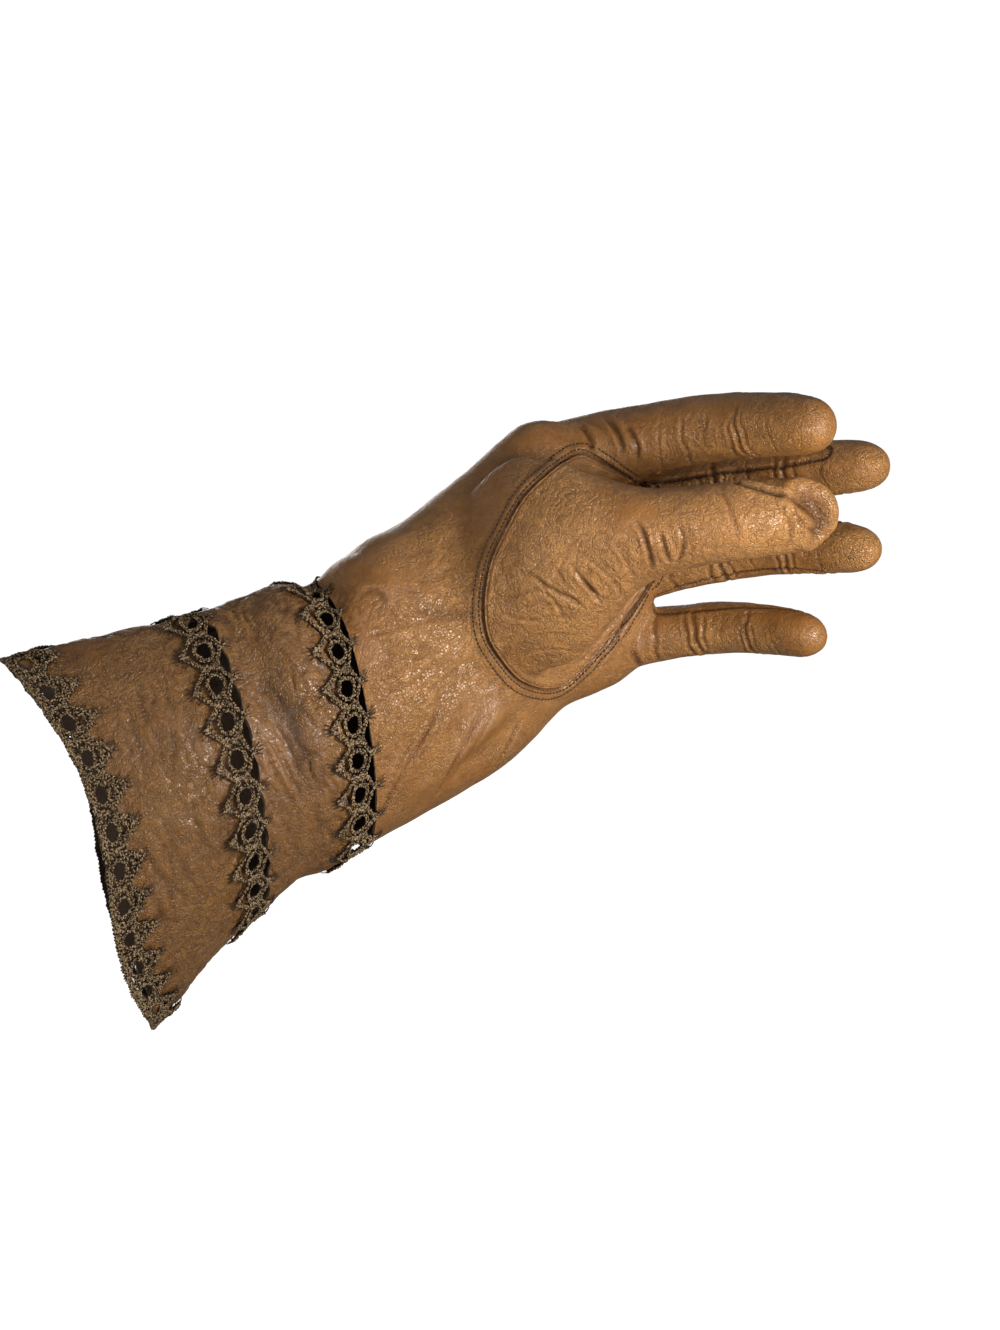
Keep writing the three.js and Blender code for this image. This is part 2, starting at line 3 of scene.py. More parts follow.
import bpy
import numpy as np
from mathutils import Matrix, Vector
from mathutils.kdtree import KDTree


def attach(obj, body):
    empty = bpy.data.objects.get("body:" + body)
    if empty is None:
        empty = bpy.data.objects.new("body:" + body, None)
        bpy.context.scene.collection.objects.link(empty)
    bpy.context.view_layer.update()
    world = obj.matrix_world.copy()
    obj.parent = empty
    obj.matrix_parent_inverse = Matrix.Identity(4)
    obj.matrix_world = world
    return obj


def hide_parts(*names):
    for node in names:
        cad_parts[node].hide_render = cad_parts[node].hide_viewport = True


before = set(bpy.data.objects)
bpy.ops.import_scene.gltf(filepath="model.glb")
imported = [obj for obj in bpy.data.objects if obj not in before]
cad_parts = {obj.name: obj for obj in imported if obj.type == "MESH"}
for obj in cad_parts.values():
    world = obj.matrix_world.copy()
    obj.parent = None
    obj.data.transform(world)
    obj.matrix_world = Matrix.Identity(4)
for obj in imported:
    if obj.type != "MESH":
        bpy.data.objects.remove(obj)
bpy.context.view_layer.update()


# The view

# The glove hangs over a white ground, held at its wrist, with the thumb side up and the palm side to the
# camera. A soft light stands close at the right, a broad weak one at the left, and others light its top,
# its back and the cuff's mouth. The ground and the sky are white to the camera, and dim to the leather.

MM = 0.001
PICTURE_WIDTH, PICTURE_HEIGHT = 1000, 1330
FOCAL_PIXELS = 2187.5
SENSOR = 36
CAMERA_DISTANCE = 700

view_back = Vector((-0.309, -0.882, 0.356)).normalized()
view_right = Vector((0.840, -0.429, -0.333))
view_right = (view_right - view_back * view_right.dot(view_back)).normalized()
view_up = view_back.cross(view_right)
camera_place = view_back * CAMERA_DISTANCE + view_right * 38.1 + view_up * 6.7


def facing(right, up, back):
    """Turn of an object whose own X, Y and Z lie along the three directions."""
    return Matrix((right, up, back)).transposed().to_euler()


bpy.ops.object.camera_add(location=camera_place * MM, rotation=facing(view_right, view_up, view_back))
camera = bpy.context.object
camera.data.sensor_fit = "VERTICAL"
camera.data.sensor_height = SENSOR
camera.data.lens = FOCAL_PIXELS / PICTURE_HEIGHT * SENSOR
camera.data.clip_start = 0.01
bpy.context.scene.camera = camera


def sight_line(px, py):
    """Direction from the camera through a place in the picture."""
    return (view_right * ((px - PICTURE_WIDTH / 2) / FOCAL_PIXELS)
            + view_up * ((PICTURE_HEIGHT / 2 - py) / FOCAL_PIXELS) - view_back).normalized()


def soft_light(name, right, up, back, size, watts, colour):
    """A square soft light at a place given along the camera's axes in metres, turned to the glove."""
    place = view_right * right + view_up * up + view_back * back
    away = place.normalized()
    side = view_up.cross(away).normalized()
    bpy.ops.object.light_add(type="AREA", location=place, rotation=facing(side, away.cross(side), away))
    light = bpy.context.object
    light.name = name
    light.data.size = size
    light.data.energy = watts
    light.data.color = colour


LAMP, DAYLIGHT = (1.0, 0.93, 0.84), (1.0, 0.95, 0.89)
# right, up and back in metres, size, watts, colour
for name, *setting in (
    ("light_key", 0.36, -0.04, 0.22, 0.16, 1.1, LAMP), ("light_near", 0.165, 0.03, 0.17, 0.06, 0.25, LAMP),
    ("light_fill", -0.35, -0.30, 0.85, 0.50, 2.2, DAYLIGHT),
    ("light_rim", 0.10, 0.80, -0.20, 0.50, 0.35, (1.0, 0.96, 0.92)),
    ("light_back", -0.25, 0.20, -0.90, 0.60, 4.5, DAYLIGHT),
    ("light_mouth", -0.80, -0.10, -0.25, 0.50, 1.6, DAYLIGHT),
):
    soft_light(name, *setting)

SKY_STRENGTH = 0.17
world = bpy.data.worlds.new("white_surround")
bpy.context.scene.world = world
world.use_nodes = True
nodes, links = world.node_tree.nodes, world.node_tree.links
seen, light, mixed, ray = (nodes.new("ShaderNodeBackground"), nodes["Background"],
                           nodes.new("ShaderNodeMixShader"), nodes.new("ShaderNodeLightPath"))
seen.inputs["Color"].default_value = (1, 1, 1, 1)
light.inputs["Color"].default_value = (1.0, 0.97, 0.94, 1)
light.inputs["Strength"].default_value = SKY_STRENGTH
links.new(ray.outputs["Is Camera Ray"], mixed.inputs[0])
links.new(light.outputs[0], mixed.inputs[1])
links.new(seen.outputs[0], mixed.inputs[2])
links.new(mixed.outputs[0], nodes["World Output"].inputs["Surface"])
bpy.context.scene.view_settings.view_transform = "Standard"

bpy.ops.mesh.primitive_plane_add(size=6, location=(0, 0, -0.45))
floor = bpy.context.object
floor.name = "floor"
paint = bpy.data.materials.new("pale_floor")
paint.use_nodes = True
nodes, links = paint.node_tree.nodes, paint.node_tree.links
glow, mixed = nodes.new("ShaderNodeEmission"), nodes.new("ShaderNodeMixShader")
nodes["Principled BSDF"].inputs["Base Color"].default_value = (0.85, 0.84, 0.83, 1)
nodes["Principled BSDF"].inputs["Roughness"].default_value = 0.9
glow.inputs["Color"].default_value = (1, 1, 1, 1)
mixed.inputs[0].default_value = 0.85
glow.inputs["Strength"].default_value = 1.2
links.new(nodes["Principled BSDF"].outputs[0], mixed.inputs[1])
links.new(glow.outputs[0], mixed.inputs[2])
links.new(mixed.outputs[0], nodes["Material Output"].inputs["Surface"])
floor.data.materials.append(paint)
floor.visible_diffuse = floor.visible_glossy = False


# The cuff's leather rings

# The gauntlet is two closed rings of thin tan kid, parted by open crochet and a little duller than the
# hand. The leather is cut, worn soft, and lies in fine wrinkles where the crochet draws it in.

LEATHER_WALL = 1.2
WRIST_WIDTH, WRIST_DEPTH = 88, 50
RIM_WIDTH, RIM_DEPTH = 129, 52
CUFF_LENGTH = 108
MOUTH_WAVE = 5
PALM_LENGTH, PALM_WIDTH, PALM_DEPTH = 88, 88, 50
FOLD_HEIGHT, FOLD_BREADTH = 2.4, 7
INSERTION_BREADTH, EDGE_BREADTH = 11, 13
UPPER_INSERTION, MIDDLE_INSERTION = 22, 60.5
SEAT_GAP = 0.3
SMOOTH_ANGLE = math.radians(50)

# along: share of the cuff's length; flare: share of what the mouth is wider than the wrist; front: share
# of the depth on the palm side; rise: share of the wrist's width; lean and sweep: shares of the length;
# corner: 2 is an ellipse, less is a lens.
cuff_sections = [
    (1.00, 1.00, 0.60, -0.018, 0.030, 0.050, 1.60),
    (0.89, 0.84, 0.59, -0.012, 0.050, 0.045, 1.65),
    (0.72, 0.52, 0.58, 0.000, 0.085, 0.035, 1.75),
    (0.60, 0.33, 0.57, 0.000, 0.100, 0.025, 1.80),
    (0.48, 0.20, 0.56, 0.004, 0.105, 0.015, 1.85),
    (0.37, 0.07, 0.55, 0.015, 0.110, 0.005, 1.90),
    (0.28, 0.09, 0.54, -0.002, 0.110, 0.000, 1.95),
    (0.20, -0.04, 0.53, -0.030, 0.110, 0.000, 2.00),
    (0.10, -0.03, 0.53, -0.016, 0.085, 0.000, 2.05),
]
# along, width, depth, front, rise, lean, corner, drop: shares of the palm's sizes
palm_sections = [
    (0.00, 1.00, 1.00, 0.52, -0.010, 0.050, 2.10, 0.00),
    (0.15, 1.02, 0.96, 0.52, 0.004, 0.015, 2.15, 0.00),
    (0.30, 1.01, 0.90, 0.52, 0.008, 0.000, 2.20, 0.00),
    (0.45, 1.00, 0.86, 0.52, 0.042, 0.000, 2.25, 0.00),
    (0.61, 0.98, 0.80, 0.52, 0.085, 0.000, 2.30, 0.00),
    (0.77, 1.04, 0.72, 0.52, 0.101, 0.000, 2.40, 0.00),
    (0.87, 1.07, 0.64, 0.52, 0.113, 0.000, 2.50, 0.01),
    (0.96, 1.03, 0.54, 0.52, 0.112, 0.000, 2.50, 0.03),
    (1.04, 0.95, 0.40, 0.52, 0.105, 0.000, 2.50, 0.07),
    (1.09, 0.80, 0.20, 0.52, 0.100, 0.000, 2.50, 0.11),
]
arm_sections = np.array([
    (-along * CUFF_LENGTH, WRIST_WIDTH + (RIM_WIDTH - WRIST_WIDTH) * flare,
     WRIST_DEPTH + (RIM_DEPTH - WRIST_DEPTH) * flare, front, rise * WRIST_WIDTH, lean * CUFF_LENGTH,
     sweep * CUFF_LENGTH, corner, 0)
    for along, flare, front, rise, lean, sweep, corner in cuff_sections
] + [
    (along * PALM_LENGTH, width * PALM_WIDTH, depth * PALM_DEPTH, front, rise * PALM_WIDTH,
     lean * CUFF_LENGTH, 0, corner, drop * PALM_DEPTH)
    for along, width, depth, front, rise, lean, corner, drop in palm_sections
])

# Broad folds: from, from_turn, to, to_turn (shares of the cuff's length towards the hand, degrees round
# from the palm's middle to the thumb side), lift and breadth (shares of the fold's sizes).
broad_folds = [
    (-0.45, 76, -0.40, -14, -0.8, 0.8), (-0.36, 70, -0.33, -18, 0.8, 1.1),
    (-0.52, 50, -0.48, -10, 0.5, 1.0), (-0.16, 96, -0.14, 62, -1.1, 0.8),
    (-0.05, 92, 0.07, 50, 0.9, 0.9), (-0.12, -34, 0.16, -6, 0.8, 0.8),
    (-0.08, -50, 0.33, -26, 0.9, 0.9), (-0.08, -24, 0.24, 4, -0.7, 0.7),
    (0.04, -52, 0.38, -40, -0.8, 0.8), (-0.90, 20, -0.62, 34, 0.4, 1.4),
    (-0.10, 150, 0.18, 190, -0.8, 1.0), (-0.04, 200, 0.20, 240, 0.7, 1.0),
]


def between(rows, along):
    """The other columns of a table at places in its first one, by a smooth cubic."""
    places, values = rows[:, 0], rows[:, 1:]
    i = np.clip(np.searchsorted(places, along) - 1, 0, len(places) - 2)
    row = np.arange(len(places))
    before, after = np.maximum(row - 1, 0), np.minimum(row + 1, len(places) - 1)
    slopes = (values[after] - values[before]) / (places[after] - places[before])[:, None]
    span = (places[i + 1] - places[i])[:, None]
    t = np.clip((along - places[i])[:, None] / span, 0, 1)
    return (values[i] + (values[i + 1] - values[i]) * t * t * (3 - 2 * t)
            + slopes[i] * span * t * (1 - t) ** 2 - slopes[i + 1] * span * t * t * (1 - t))


def fold_lift(along, degrees):
    """Height of the broad folds at places on the arm."""
    lift = np.zeros_like(along)
    per_degree = math.pi * WRIST_WIDTH / 360
    for start, start_turn, end, end_turn, height, breadth in broad_folds:
        run, climb = (end - start) * CUFF_LENGTH, (end_turn - start_turn) * per_degree
        dx, dt = along - start * CUFF_LENGTH, (degrees - start_turn) * per_degree
        t = np.clip((dx * run + dt * climb) / (run * run + climb * climb), 0, 1)
        away = np.hypot(dx - t * run, dt - t * climb) / (breadth * FOLD_BREADTH)
        lift += height * FOLD_HEIGHT * np.exp(-away ** 2) * np.minimum(1, 0.35 + 2.6 * t * (1 - t))
    return lift


def arm_point(along, turn, lift=0.0):
    """Places on the arm's leather. turn: 0 little finger's side, 0.25 palm, 0.5 thumb's side, 0.75 back."""
    turn = turn % 1
    width, depth, front, rise, lean, sweep, corner, drop = between(arm_sections, along).T
    palm_side = turn < 0.5
    share = np.where(palm_side, turn * 2, (1 - turn) * 2)
    half = width / 2
    depth = depth * np.where(palm_side, front, 1 - front)
    power = 2 / corner
    angles = np.linspace(0, math.pi, 49)
    z = -np.sign(np.cos(angles)) * np.abs(np.cos(angles)) ** power[:, None] * half[:, None]
    y = np.abs(np.sin(angles)) ** power[:, None] * depth[:, None]
    lengths = np.cumsum(np.hypot(np.diff(z, axis=1), np.diff(y, axis=1)), axis=1)
    lengths = np.concatenate([np.zeros((len(along), 1)), lengths], axis=1)
    target = share * lengths[:, -1]
    k = np.clip((lengths < target[:, None]).sum(axis=1), 1, 48)
    row = np.arange(len(along))
    part = (target - lengths[row, k - 1]) / (lengths[row, k] - lengths[row, k - 1])
    angle = math.pi * (k - 1 + part) / 48
    across = -np.sign(np.cos(angle)) * np.abs(np.cos(angle)) ** power
    out = np.abs(np.sin(angle)) ** power
    lift = lift + fold_lift(along, (turn - 0.25) * 360)
    slope_z, slope_y = across / half, out / depth
    steep = np.hypot(slope_z, slope_y)
    z = across * half + lift * slope_z / steep
    y = out * depth + lift * slope_y / steep
    wave = np.sin(math.pi * across) + np.where(palm_side, 0, out * (1.05 - 1.3 * np.clip(across, 0, 1)))
    wave *= MOUTH_WAVE * np.clip((-along / CUFF_LENGTH - 0.55) / 0.45, 0, 1.1) ** 1.5
    return np.stack([along + lean * across + wave + np.where(palm_side, 0, sweep * out),
                     np.where(palm_side, -y, y) - drop, z + rise], axis=1)


def places_of(piece):
    """Vertex places of a mesh in millimetres."""
    flat = np.empty(len(piece.data.vertices) * 3)
    piece.data.vertices.foreach_get("co", flat)
    return flat.reshape(-1, 3) / MM


def move_to(piece, points):
    """Moves a mesh's vertices to places given in millimetres."""
    piece.data.vertices.foreach_set("co", (points * MM).ravel())
    piece.data.update()


def only(piece):
    """Makes one object the selected and active one."""
    bpy.ops.object.select_all(action="DESELECT")
    piece.select_set(True)
    bpy.context.view_layer.objects.active = piece


def finish_modifier(piece, kind, **settings):
    """Adds a modifier with its settings and applies it."""
    only(piece)
    modifier = piece.modifiers.new(kind.lower(), kind)
    for name, value in settings.items():
        setattr(modifier, name, value)
    bpy.ops.object.modifier_apply(modifier=modifier.name)


def work_on(piece, operator, **settings):
    """Runs one mesh operator in edit mode on all of a piece."""
    only(piece)
    bpy.ops.object.mode_set(mode="EDIT")
    bpy.ops.mesh.select_all(action="SELECT")
    operator(**settings)
    bpy.ops.object.mode_set(mode="OBJECT")


def unit(vectors):
    """Vectors at a length of one."""
    return vectors / np.linalg.norm(vectors, axis=-1, keepdims=True)


def add_sheet(name, columns, rows):
    """A flat grid one unit wide and high, to be bent into shape. Returns it with its two shares."""
    bpy.ops.object.select_all(action="DESELECT")
    bpy.ops.mesh.primitive_grid_add(x_subdivisions=columns, y_subdivisions=rows, size=1)
    sheet = bpy.context.object
    sheet.name = name
    flat = places_of(sheet) * MM
    return sheet, flat[:, 0] + 0.5, flat[:, 1] + 0.5


def even_points(points, count):
    """The same line as a number of evenly spaced points."""
    lengths = np.concatenate([[0], np.cumsum(np.linalg.norm(np.diff(points, axis=0), axis=1))])
    places = np.linspace(0, lengths[-1], count)
    return np.stack([np.interp(places, lengths, points[:, k]) for k in range(points.shape[1])], axis=1)


def curve_through(joints, count):
    """Even points on a centripetal curve through the joints."""
    joints = np.array(joints, float)
    ends = [2 * joints[0] - joints[1], *joints, 2 * joints[-1] - joints[-2]]
    t = np.linspace(0, 1, 60, endpoint=False)[:, None]
    run = []
    for p0, p1, p2, p3 in zip(ends, ends[1:], ends[2:], ends[3:]):
        d0, d1, d2 = (np.linalg.norm(b - a) ** 0.5 for a, b in ((p0, p1), (p1, p2), (p2, p3)))
        start = ((p1 - p0) / d0 - (p2 - p0) / (d0 + d1) + (p2 - p1) / d1) * d1
        end = ((p2 - p1) / d1 - (p3 - p1) / (d1 + d2) + (p3 - p2) / d2) * d1
        run.append(p1 + start * t + (3 * (p2 - p1) - 2 * start - end) * t ** 2
                   + (2 * (p1 - p2) + start + end) * t ** 3)
    return even_points(np.concatenate(run + [joints[-1:]]), count)


def normals_of(piece):
    """Vertex normals of a mesh."""
    flat = np.empty(len(piece.data.vertices) * 3)
    piece.data.vertex_normals.foreach_get("vector", flat)
    return flat.reshape(-1, 3)


def noise(points, seed):
    """Smooth noise, about -1 to 1, with a knot at every whole number."""
    knots = unit(np.random.default_rng(seed).normal(size=(4096, 3)))
    cell = np.floor(points).astype(np.int64)
    part = points - cell
    ease = part ** 3 * (part * (part * 6 - 15) + 10)
    total = 0
    for corner in np.ndindex(2, 2, 2):
        x, y, z = (cell + corner).T
        knot = knots[(x * 73856093 ^ y * 19349663 ^ z * 83492791) & 4095]
        weight = np.prod(np.where(corner, ease, 1 - ease), axis=1)
        total = total + weight * ((part - corner) * knot).sum(axis=1)
    return total * 1.5


def wander(points, seed):
    """Smooth noise in three directions."""
    return np.stack([noise(points, seed + k) for k in range(3)], axis=1)


def furrows(points, size, width, seed):
    """Fine furrows in leather: 0 on the puffs, -1 in the furrows. size: spacing along X, Y and Z."""
    bent = points + 2.5 * wander(points / 9, seed + 1)
    return -np.exp(-(noise(bent / size, seed) / width) ** 2)


def distance_to(points, line):
    """Distance of each point to a line of points, and the share of the line that is nearest."""
    start, run = line[:-1], np.diff(line, axis=0)
    away = points[:, None, :] - start
    t = np.clip((away * run).sum(axis=2) / (run ** 2).sum(axis=1), 0, 1)
    gaps = np.linalg.norm(away - t[:, :, None] * run, axis=2)
    nearest = gaps.argmin(axis=1)
    row = np.arange(len(points))
    return gaps[row, nearest], (nearest + t[row, nearest]) / len(start)


def length_of(line):
    """Length of a line of points."""
    return np.linalg.norm(np.diff(line, axis=0), axis=1).sum()


def gaps_to(points, line, reach):
    """Distance of each point to a line of points, where it is near enough to be within reach."""
    dense = even_points(line, int(length_of(line) / 0.3) + 2)
    tree = KDTree(len(dense))
    for k, place in enumerate(dense):
        tree.insert(place, k)
    tree.balance()
    gaps = np.full(len(points), np.inf)
    near = ((points > line.min(axis=0) - reach) & (points < line.max(axis=0) + reach)).all(axis=1)
    for k in np.flatnonzero(near):
        gaps[k] = tree.find(points[k])[2]
    return gaps


def seen_line(piece, pixels, step=1.5):
    """A smooth line on a piece through places given in the picture."""
    found = []
    for px, py in curve_through(pixels, 12):
        hit, place = piece.ray_cast(camera_place * MM, sight_line(px, py))[:2]
        if hit:
            found.append(np.array(place) / MM)
    found = np.array(found)
    return even_points(found, max(3, int(length_of(found) / step)))


def crease_lift(points, lines):
    """Height of pressed-in creases with soft lips, each a line, a half breadth and a depth."""
    lift = np.zeros(len(points))
    for line, breadth, depth in lines:
        reach = 3.2 * breadth
        near = ((points > line.min(axis=0) - reach) & (points < line.max(axis=0) + reach)).all(axis=1)
        if not near.any():
            continue
        gap, share = distance_to(points[near], line)
        fade = np.clip(4 * np.minimum(share, 1 - share) + 0.15, 0, 1)
        lift[near] += fade * depth * (0.35 * np.exp(-((gap - 1.9 * breadth) / (1.1 * breadth)) ** 2)
                                      - np.exp(-(gap / breadth) ** 2))
    return lift


def keep_fold(piece, depth):
    """Keeps a value on each vertex that the colour turns into painted shade: how deep it lies in a fold, or
    how high it stands in a crochet plait.
    """
    layer = piece.data.attributes.new("fold", "FLOAT", "POINT")
    layer.data.foreach_set("value", np.clip(depth, -1, 1).astype(np.float32))


def node(tree, kind, inputs=None, **settings):
    """A shader node with its settings; an input that is a socket is linked to it."""
    made = tree.nodes.new("ShaderNode" + kind)
    for name, value in settings.items():
        setattr(made, name, value)
    for name, value in (inputs or {}).items():
        if isinstance(value, bpy.types.NodeSocket):
            tree.links.new(value, made.inputs[name])
        else:
            made.inputs[name].default_value = value
    return made


def math_node(tree, operation, *values, clamp=False):
    """A value worked out from one or more values."""
    return node(tree, "Math", dict(enumerate(values)), operation=operation, use_clamp=clamp).outputs[0]


def mix_colour(tree, share, first, second):
    """A colour between two colours."""
    made = node(tree, "Mix", data_type="RGBA", clamp_factor=True)
    for socket, value in ((made.inputs[0], share), (made.inputs[6], first), (made.inputs[7], second)):
        if isinstance(value, bpy.types.NodeSocket):
            tree.links.new(value, socket)
        else:
            socket.default_value = value
    return made.outputs[2]


def grade(tree, value, start, end, low=0.0, high=1.0, **settings):
    """A value's share of a range, given on another range."""
    return node(tree, "MapRange", {"Value": value, 1: start, 2: end, 3: low, 4: high}, **settings).outputs[0]


def speckle(tree, place, scale, detail, roughness=0.5):
    """Smooth noise at a scale, in shares of a metre."""
    return node(tree, "TexNoise", {"Vector": place, "Scale": scale, "Detail": detail,
                                   "Roughness": roughness}).outputs[0]


def new_group(name, inputs, outputs):
    """A shader node group with named sockets. Returns its tree, its inputs and a way to set its outputs."""
    tree = bpy.data.node_groups.new(name, "ShaderNodeTree")
    for socket, kind in inputs:
        tree.interface.new_socket(socket, in_out="INPUT", socket_type="NodeSocket" + kind)
    for socket, kind in outputs:
        tree.interface.new_socket(socket, in_out="OUTPUT", socket_type="NodeSocket" + kind)
    entry, leave = tree.nodes.new("NodeGroupInput"), tree.nodes.new("NodeGroupOutput")
    return tree, entry.outputs, lambda socket, value: tree.links.new(value, leave.inputs[socket])


# Thin glove kid: soft even colour with slow stains, painted shade that darkens it in its folds and seams, a
# fine cracked
#  grain, and a dry sheen that comes and goes in patches
kid_tree, given, give = new_group(
    "kid_leather", [("Dark", "Color"), ("Body", "Color"), ("Light", "Color"), ("Grain", "Float")],
    [("Color", "Color"), ("Roughness", "Float"), ("Normal", "Vector")])
place = node(kid_tree, "TexCoord").outputs["Object"]
fold = node(kid_tree, "Attribute", attribute_name="fold").outputs["Fac"]
stain = speckle(kid_tree, place, 26, 3, 0.55)
mottle = speckle(kid_tree, place, 190, 5, 0.62)
speck = speckle(kid_tree, place, 1400, 2)
bent = node(kid_tree, "TexNoise", {"Vector": place, "Scale": 500, "Detail": 2}).outputs["Color"]
warped = node(kid_tree, "VectorMath", {0: bent, 1: (0.0011, 0.0011, 0.0011)}, operation="MULTIPLY").outputs[0]
warped = node(kid_tree, "VectorMath", {0: place, 1: warped}, operation="ADD").outputs[0]
cells = node(kid_tree, "TexVoronoi", {"Vector": warped, "Scale": 1050},
             feature="DISTANCE_TO_EDGE").outputs["Distance"]
cells = grade(kid_tree, cells, 0.0, 0.16, interpolation_type="SMOOTHSTEP")
wrinkle = speckle(kid_tree, warped, 330, 3, 0.55)
wrinkle = math_node(kid_tree, "ABSOLUTE", math_node(kid_tree, "SUBTRACT", wrinkle, 0.5))
wrinkle = grade(kid_tree, wrinkle, 0.0, 0.07, interpolation_type="SMOOTHSTEP")
patch = grade(kid_tree, stain, 0.40, 0.62)
tone = mix_colour(kid_tree, patch, given["Body"], given["Light"])
low = grade(kid_tree, mottle, 0.62, 0.32)
tone = mix_colour(kid_tree, math_node(kid_tree, "MULTIPLY", low, 0.42), tone, given["Dark"])
cracks = math_node(kid_tree, "SUBTRACT", 1, math_node(kid_tree, "MULTIPLY", cells, wrinkle))
tone = mix_colour(kid_tree, math_node(kid_tree, "MULTIPLY", cracks, 0.28), tone, given["Dark"])
# Painted shade: the colour goes to the dark tone where the leather lies deep in a fold, a seam or the thumb's
# dent
tone = mix_colour(kid_tree, math_node(kid_tree, "MULTIPLY", fold, 1.1, clamp=True), tone, given["Dark"])
give("Color", mix_colour(kid_tree, math_node(kid_tree, "MULTIPLY", speck, 0.10), tone, given["Light"]))
rough = grade(kid_tree, mottle, 0.3, 0.7, 0.24, 0.42)
give("Roughness", math_node(kid_tree, "ADD", rough, math_node(kid_tree, "MULTIPLY", cracks, 0.12)))
height = math_node(kid_tree, "MULTIPLY", cells, 0.35)
height = math_node(kid_tree, "ADD", height, math_node(kid_tree, "MULTIPLY", wrinkle, 0.55))
height = math_node(kid_tree, "ADD", height, math_node(kid_tree, "MULTIPLY", mottle, 1.3))
patch = math_node(kid_tree, "ADD", patch, 0.45)
strength = math_node(kid_tree, "MULTIPLY", given["Grain"], patch, clamp=True)
bump = node(kid_tree, "Bump", {"Height": height, "Strength": strength, "Distance": 0.0004})
give("Normal", bump.outputs[0])


def new_material(name, roughness=0.5):
    """An empty material with its tree and its main shader."""
    made = bpy.data.materials.new(name)
    made.use_nodes = True
    shader = made.node_tree.nodes["Principled BSDF"]
    shader.inputs["Roughness"].default_value = roughness
    return made, made.node_tree, shader


def kid_material(name, dark, body, light, grain):
    """Glove kid in three tones."""
    made, tree, shader = new_material(name)
    group = node(tree, "Group", node_tree=kid_tree)
    for socket, value in (("Dark", dark), ("Body", body), ("Light", light)):
        group.inputs[socket].default_value = (*value, 1)
    group.inputs["Grain"].default_value = grain
    tree.links.new(group.outputs["Color"], shader.inputs["Base Color"])
    tree.links.new(group.outputs["Roughness"], shader.inputs["Roughness"])
    tree.links.new(group.outputs["Normal"], shader.inputs["Normal"])
    shader.inputs["Specular IOR Level"].default_value = 0.75
    return made


def colour_and_relief(tree, shader, colour, height, strength, distance):
    """Gives a shader its colour and its fine relief."""
    tree.links.new(colour, shader.inputs["Base Color"])
    bump = node(tree, "Bump", {"Height": height, "Strength": strength, "Distance": distance})
    tree.links.new(bump.outputs[0], shader.inputs["Normal"])


cuff_kid = kid_material("cuff_kid", (0.070, 0.027, 0.006), (0.255, 0.112, 0.023), (0.335, 0.160, 0.038), 1.0)

# The flesh side of the leather, seen inside the cuff: napped and dull, its colour painted dark as the shade
# inside the glove
flesh_side_painted_shade, tree, shader = new_material("flesh_side_painted_shade", 0.92)
place = node(tree, "TexCoord").outputs["Object"]
nap = speckle(tree, place, 900, 6, 0.7)
cloud = speckle(tree, place, 60, 3)
tone = mix_colour(tree, cloud, (0.052, 0.030, 0.018, 1), (0.105, 0.063, 0.038, 1))
tone = mix_colour(tree, math_node(tree, "MULTIPLY", nap, 0.5), tone, (0.030, 0.016, 0.009, 1))
colour_and_relief(tree, shader, tone, nap, 0.7, 0.0003)
shader.inputs["Sheen Weight"].default_value = 0.3


def thicken(piece, kid, **settings):
    """Gives a sheet of kid its thickness, with the flesh side behind it."""
    piece.data.materials.append(kid)
    piece.data.materials.append(flesh_side_painted_shade)
    finish_modifier(piece, "SOLIDIFY", thickness=LEATHER_WALL * MM, offset=-1, use_rim=True,
                    material_offset=1, material_offset_rim=1, **settings)


def cuff_ring(name, start, end, repeats_before, repeats_after, creases, seed, deeper_behind=0.0):
    """A ring of leather round the arm between two places along it, drawn in a little by the crochet."""
    ring, turn, share = add_sheet(name, 520, 46)
    turn = 1 - turn
    scallop_before = 0.5 * np.cos(2 * math.pi * turn * repeats_before) * (1 - share) ** 2
    scallop_after = 0.6 * np.cos(2 * math.pi * turn * repeats_after) * share ** 2
    past_top = (turn - 0.46) % 1
    behind = deeper_behind * np.clip(np.minimum(past_top, 0.62 - past_top) / 0.04, 0, 1)
    begin = start - behind
    along = begin + (end + 0.8 * behind - begin) * share + scallop_before + scallop_after
    move_to(ring, arm_point(along, turn))
    work_on(ring, bpy.ops.mesh.remove_doubles, threshold=0.00001)
    points, normals = places_of(ring), normals_of(ring)
    lines = [(seen_line(ring, pixels), breadth, depth) for breadth, depth, *pixels in creases]
    slow = noise(points / 17, seed)
    pressed = crease_lift(points, lines)
    fine = furrows(points, (3.2, 2.2, 4.5), 0.16, seed + 10) * np.clip(0.55 + slow, 0.15, 1)
    long = furrows(points, (4.5, 9, 16), 0.14, seed + 20) * np.clip(0.5 - slow, 0, 1)
    ends = (points[:, 0] - points[:, 0].min()) / np.ptp(points[:, 0])
    ripple = noise(points / (14, 1.7, 1.7), seed + 30) * np.clip(1.2 - 3.6 * np.minimum(ends, 1 - ends), 0, 1)
    lift = pressed + 0.40 * fine + 0.70 * long + 0.3 * noise(points / 7, seed + 40) + 0.65 * ripple
    move_to(ring, points + normals * lift[:, None])
    # Painted shade for the colour: the deeper in the creases, furrows and ripples, the darker
    keep_fold(ring, -pressed * 0.6 - 0.36 * fine - 0.45 * long - 0.35 * np.minimum(ripple, 0))
    thicken(ring, cuff_kid)
    bpy.ops.object.shade_smooth_by_angle(angle=SMOOTH_ANGLE)
    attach(ring, "root")
    return ring


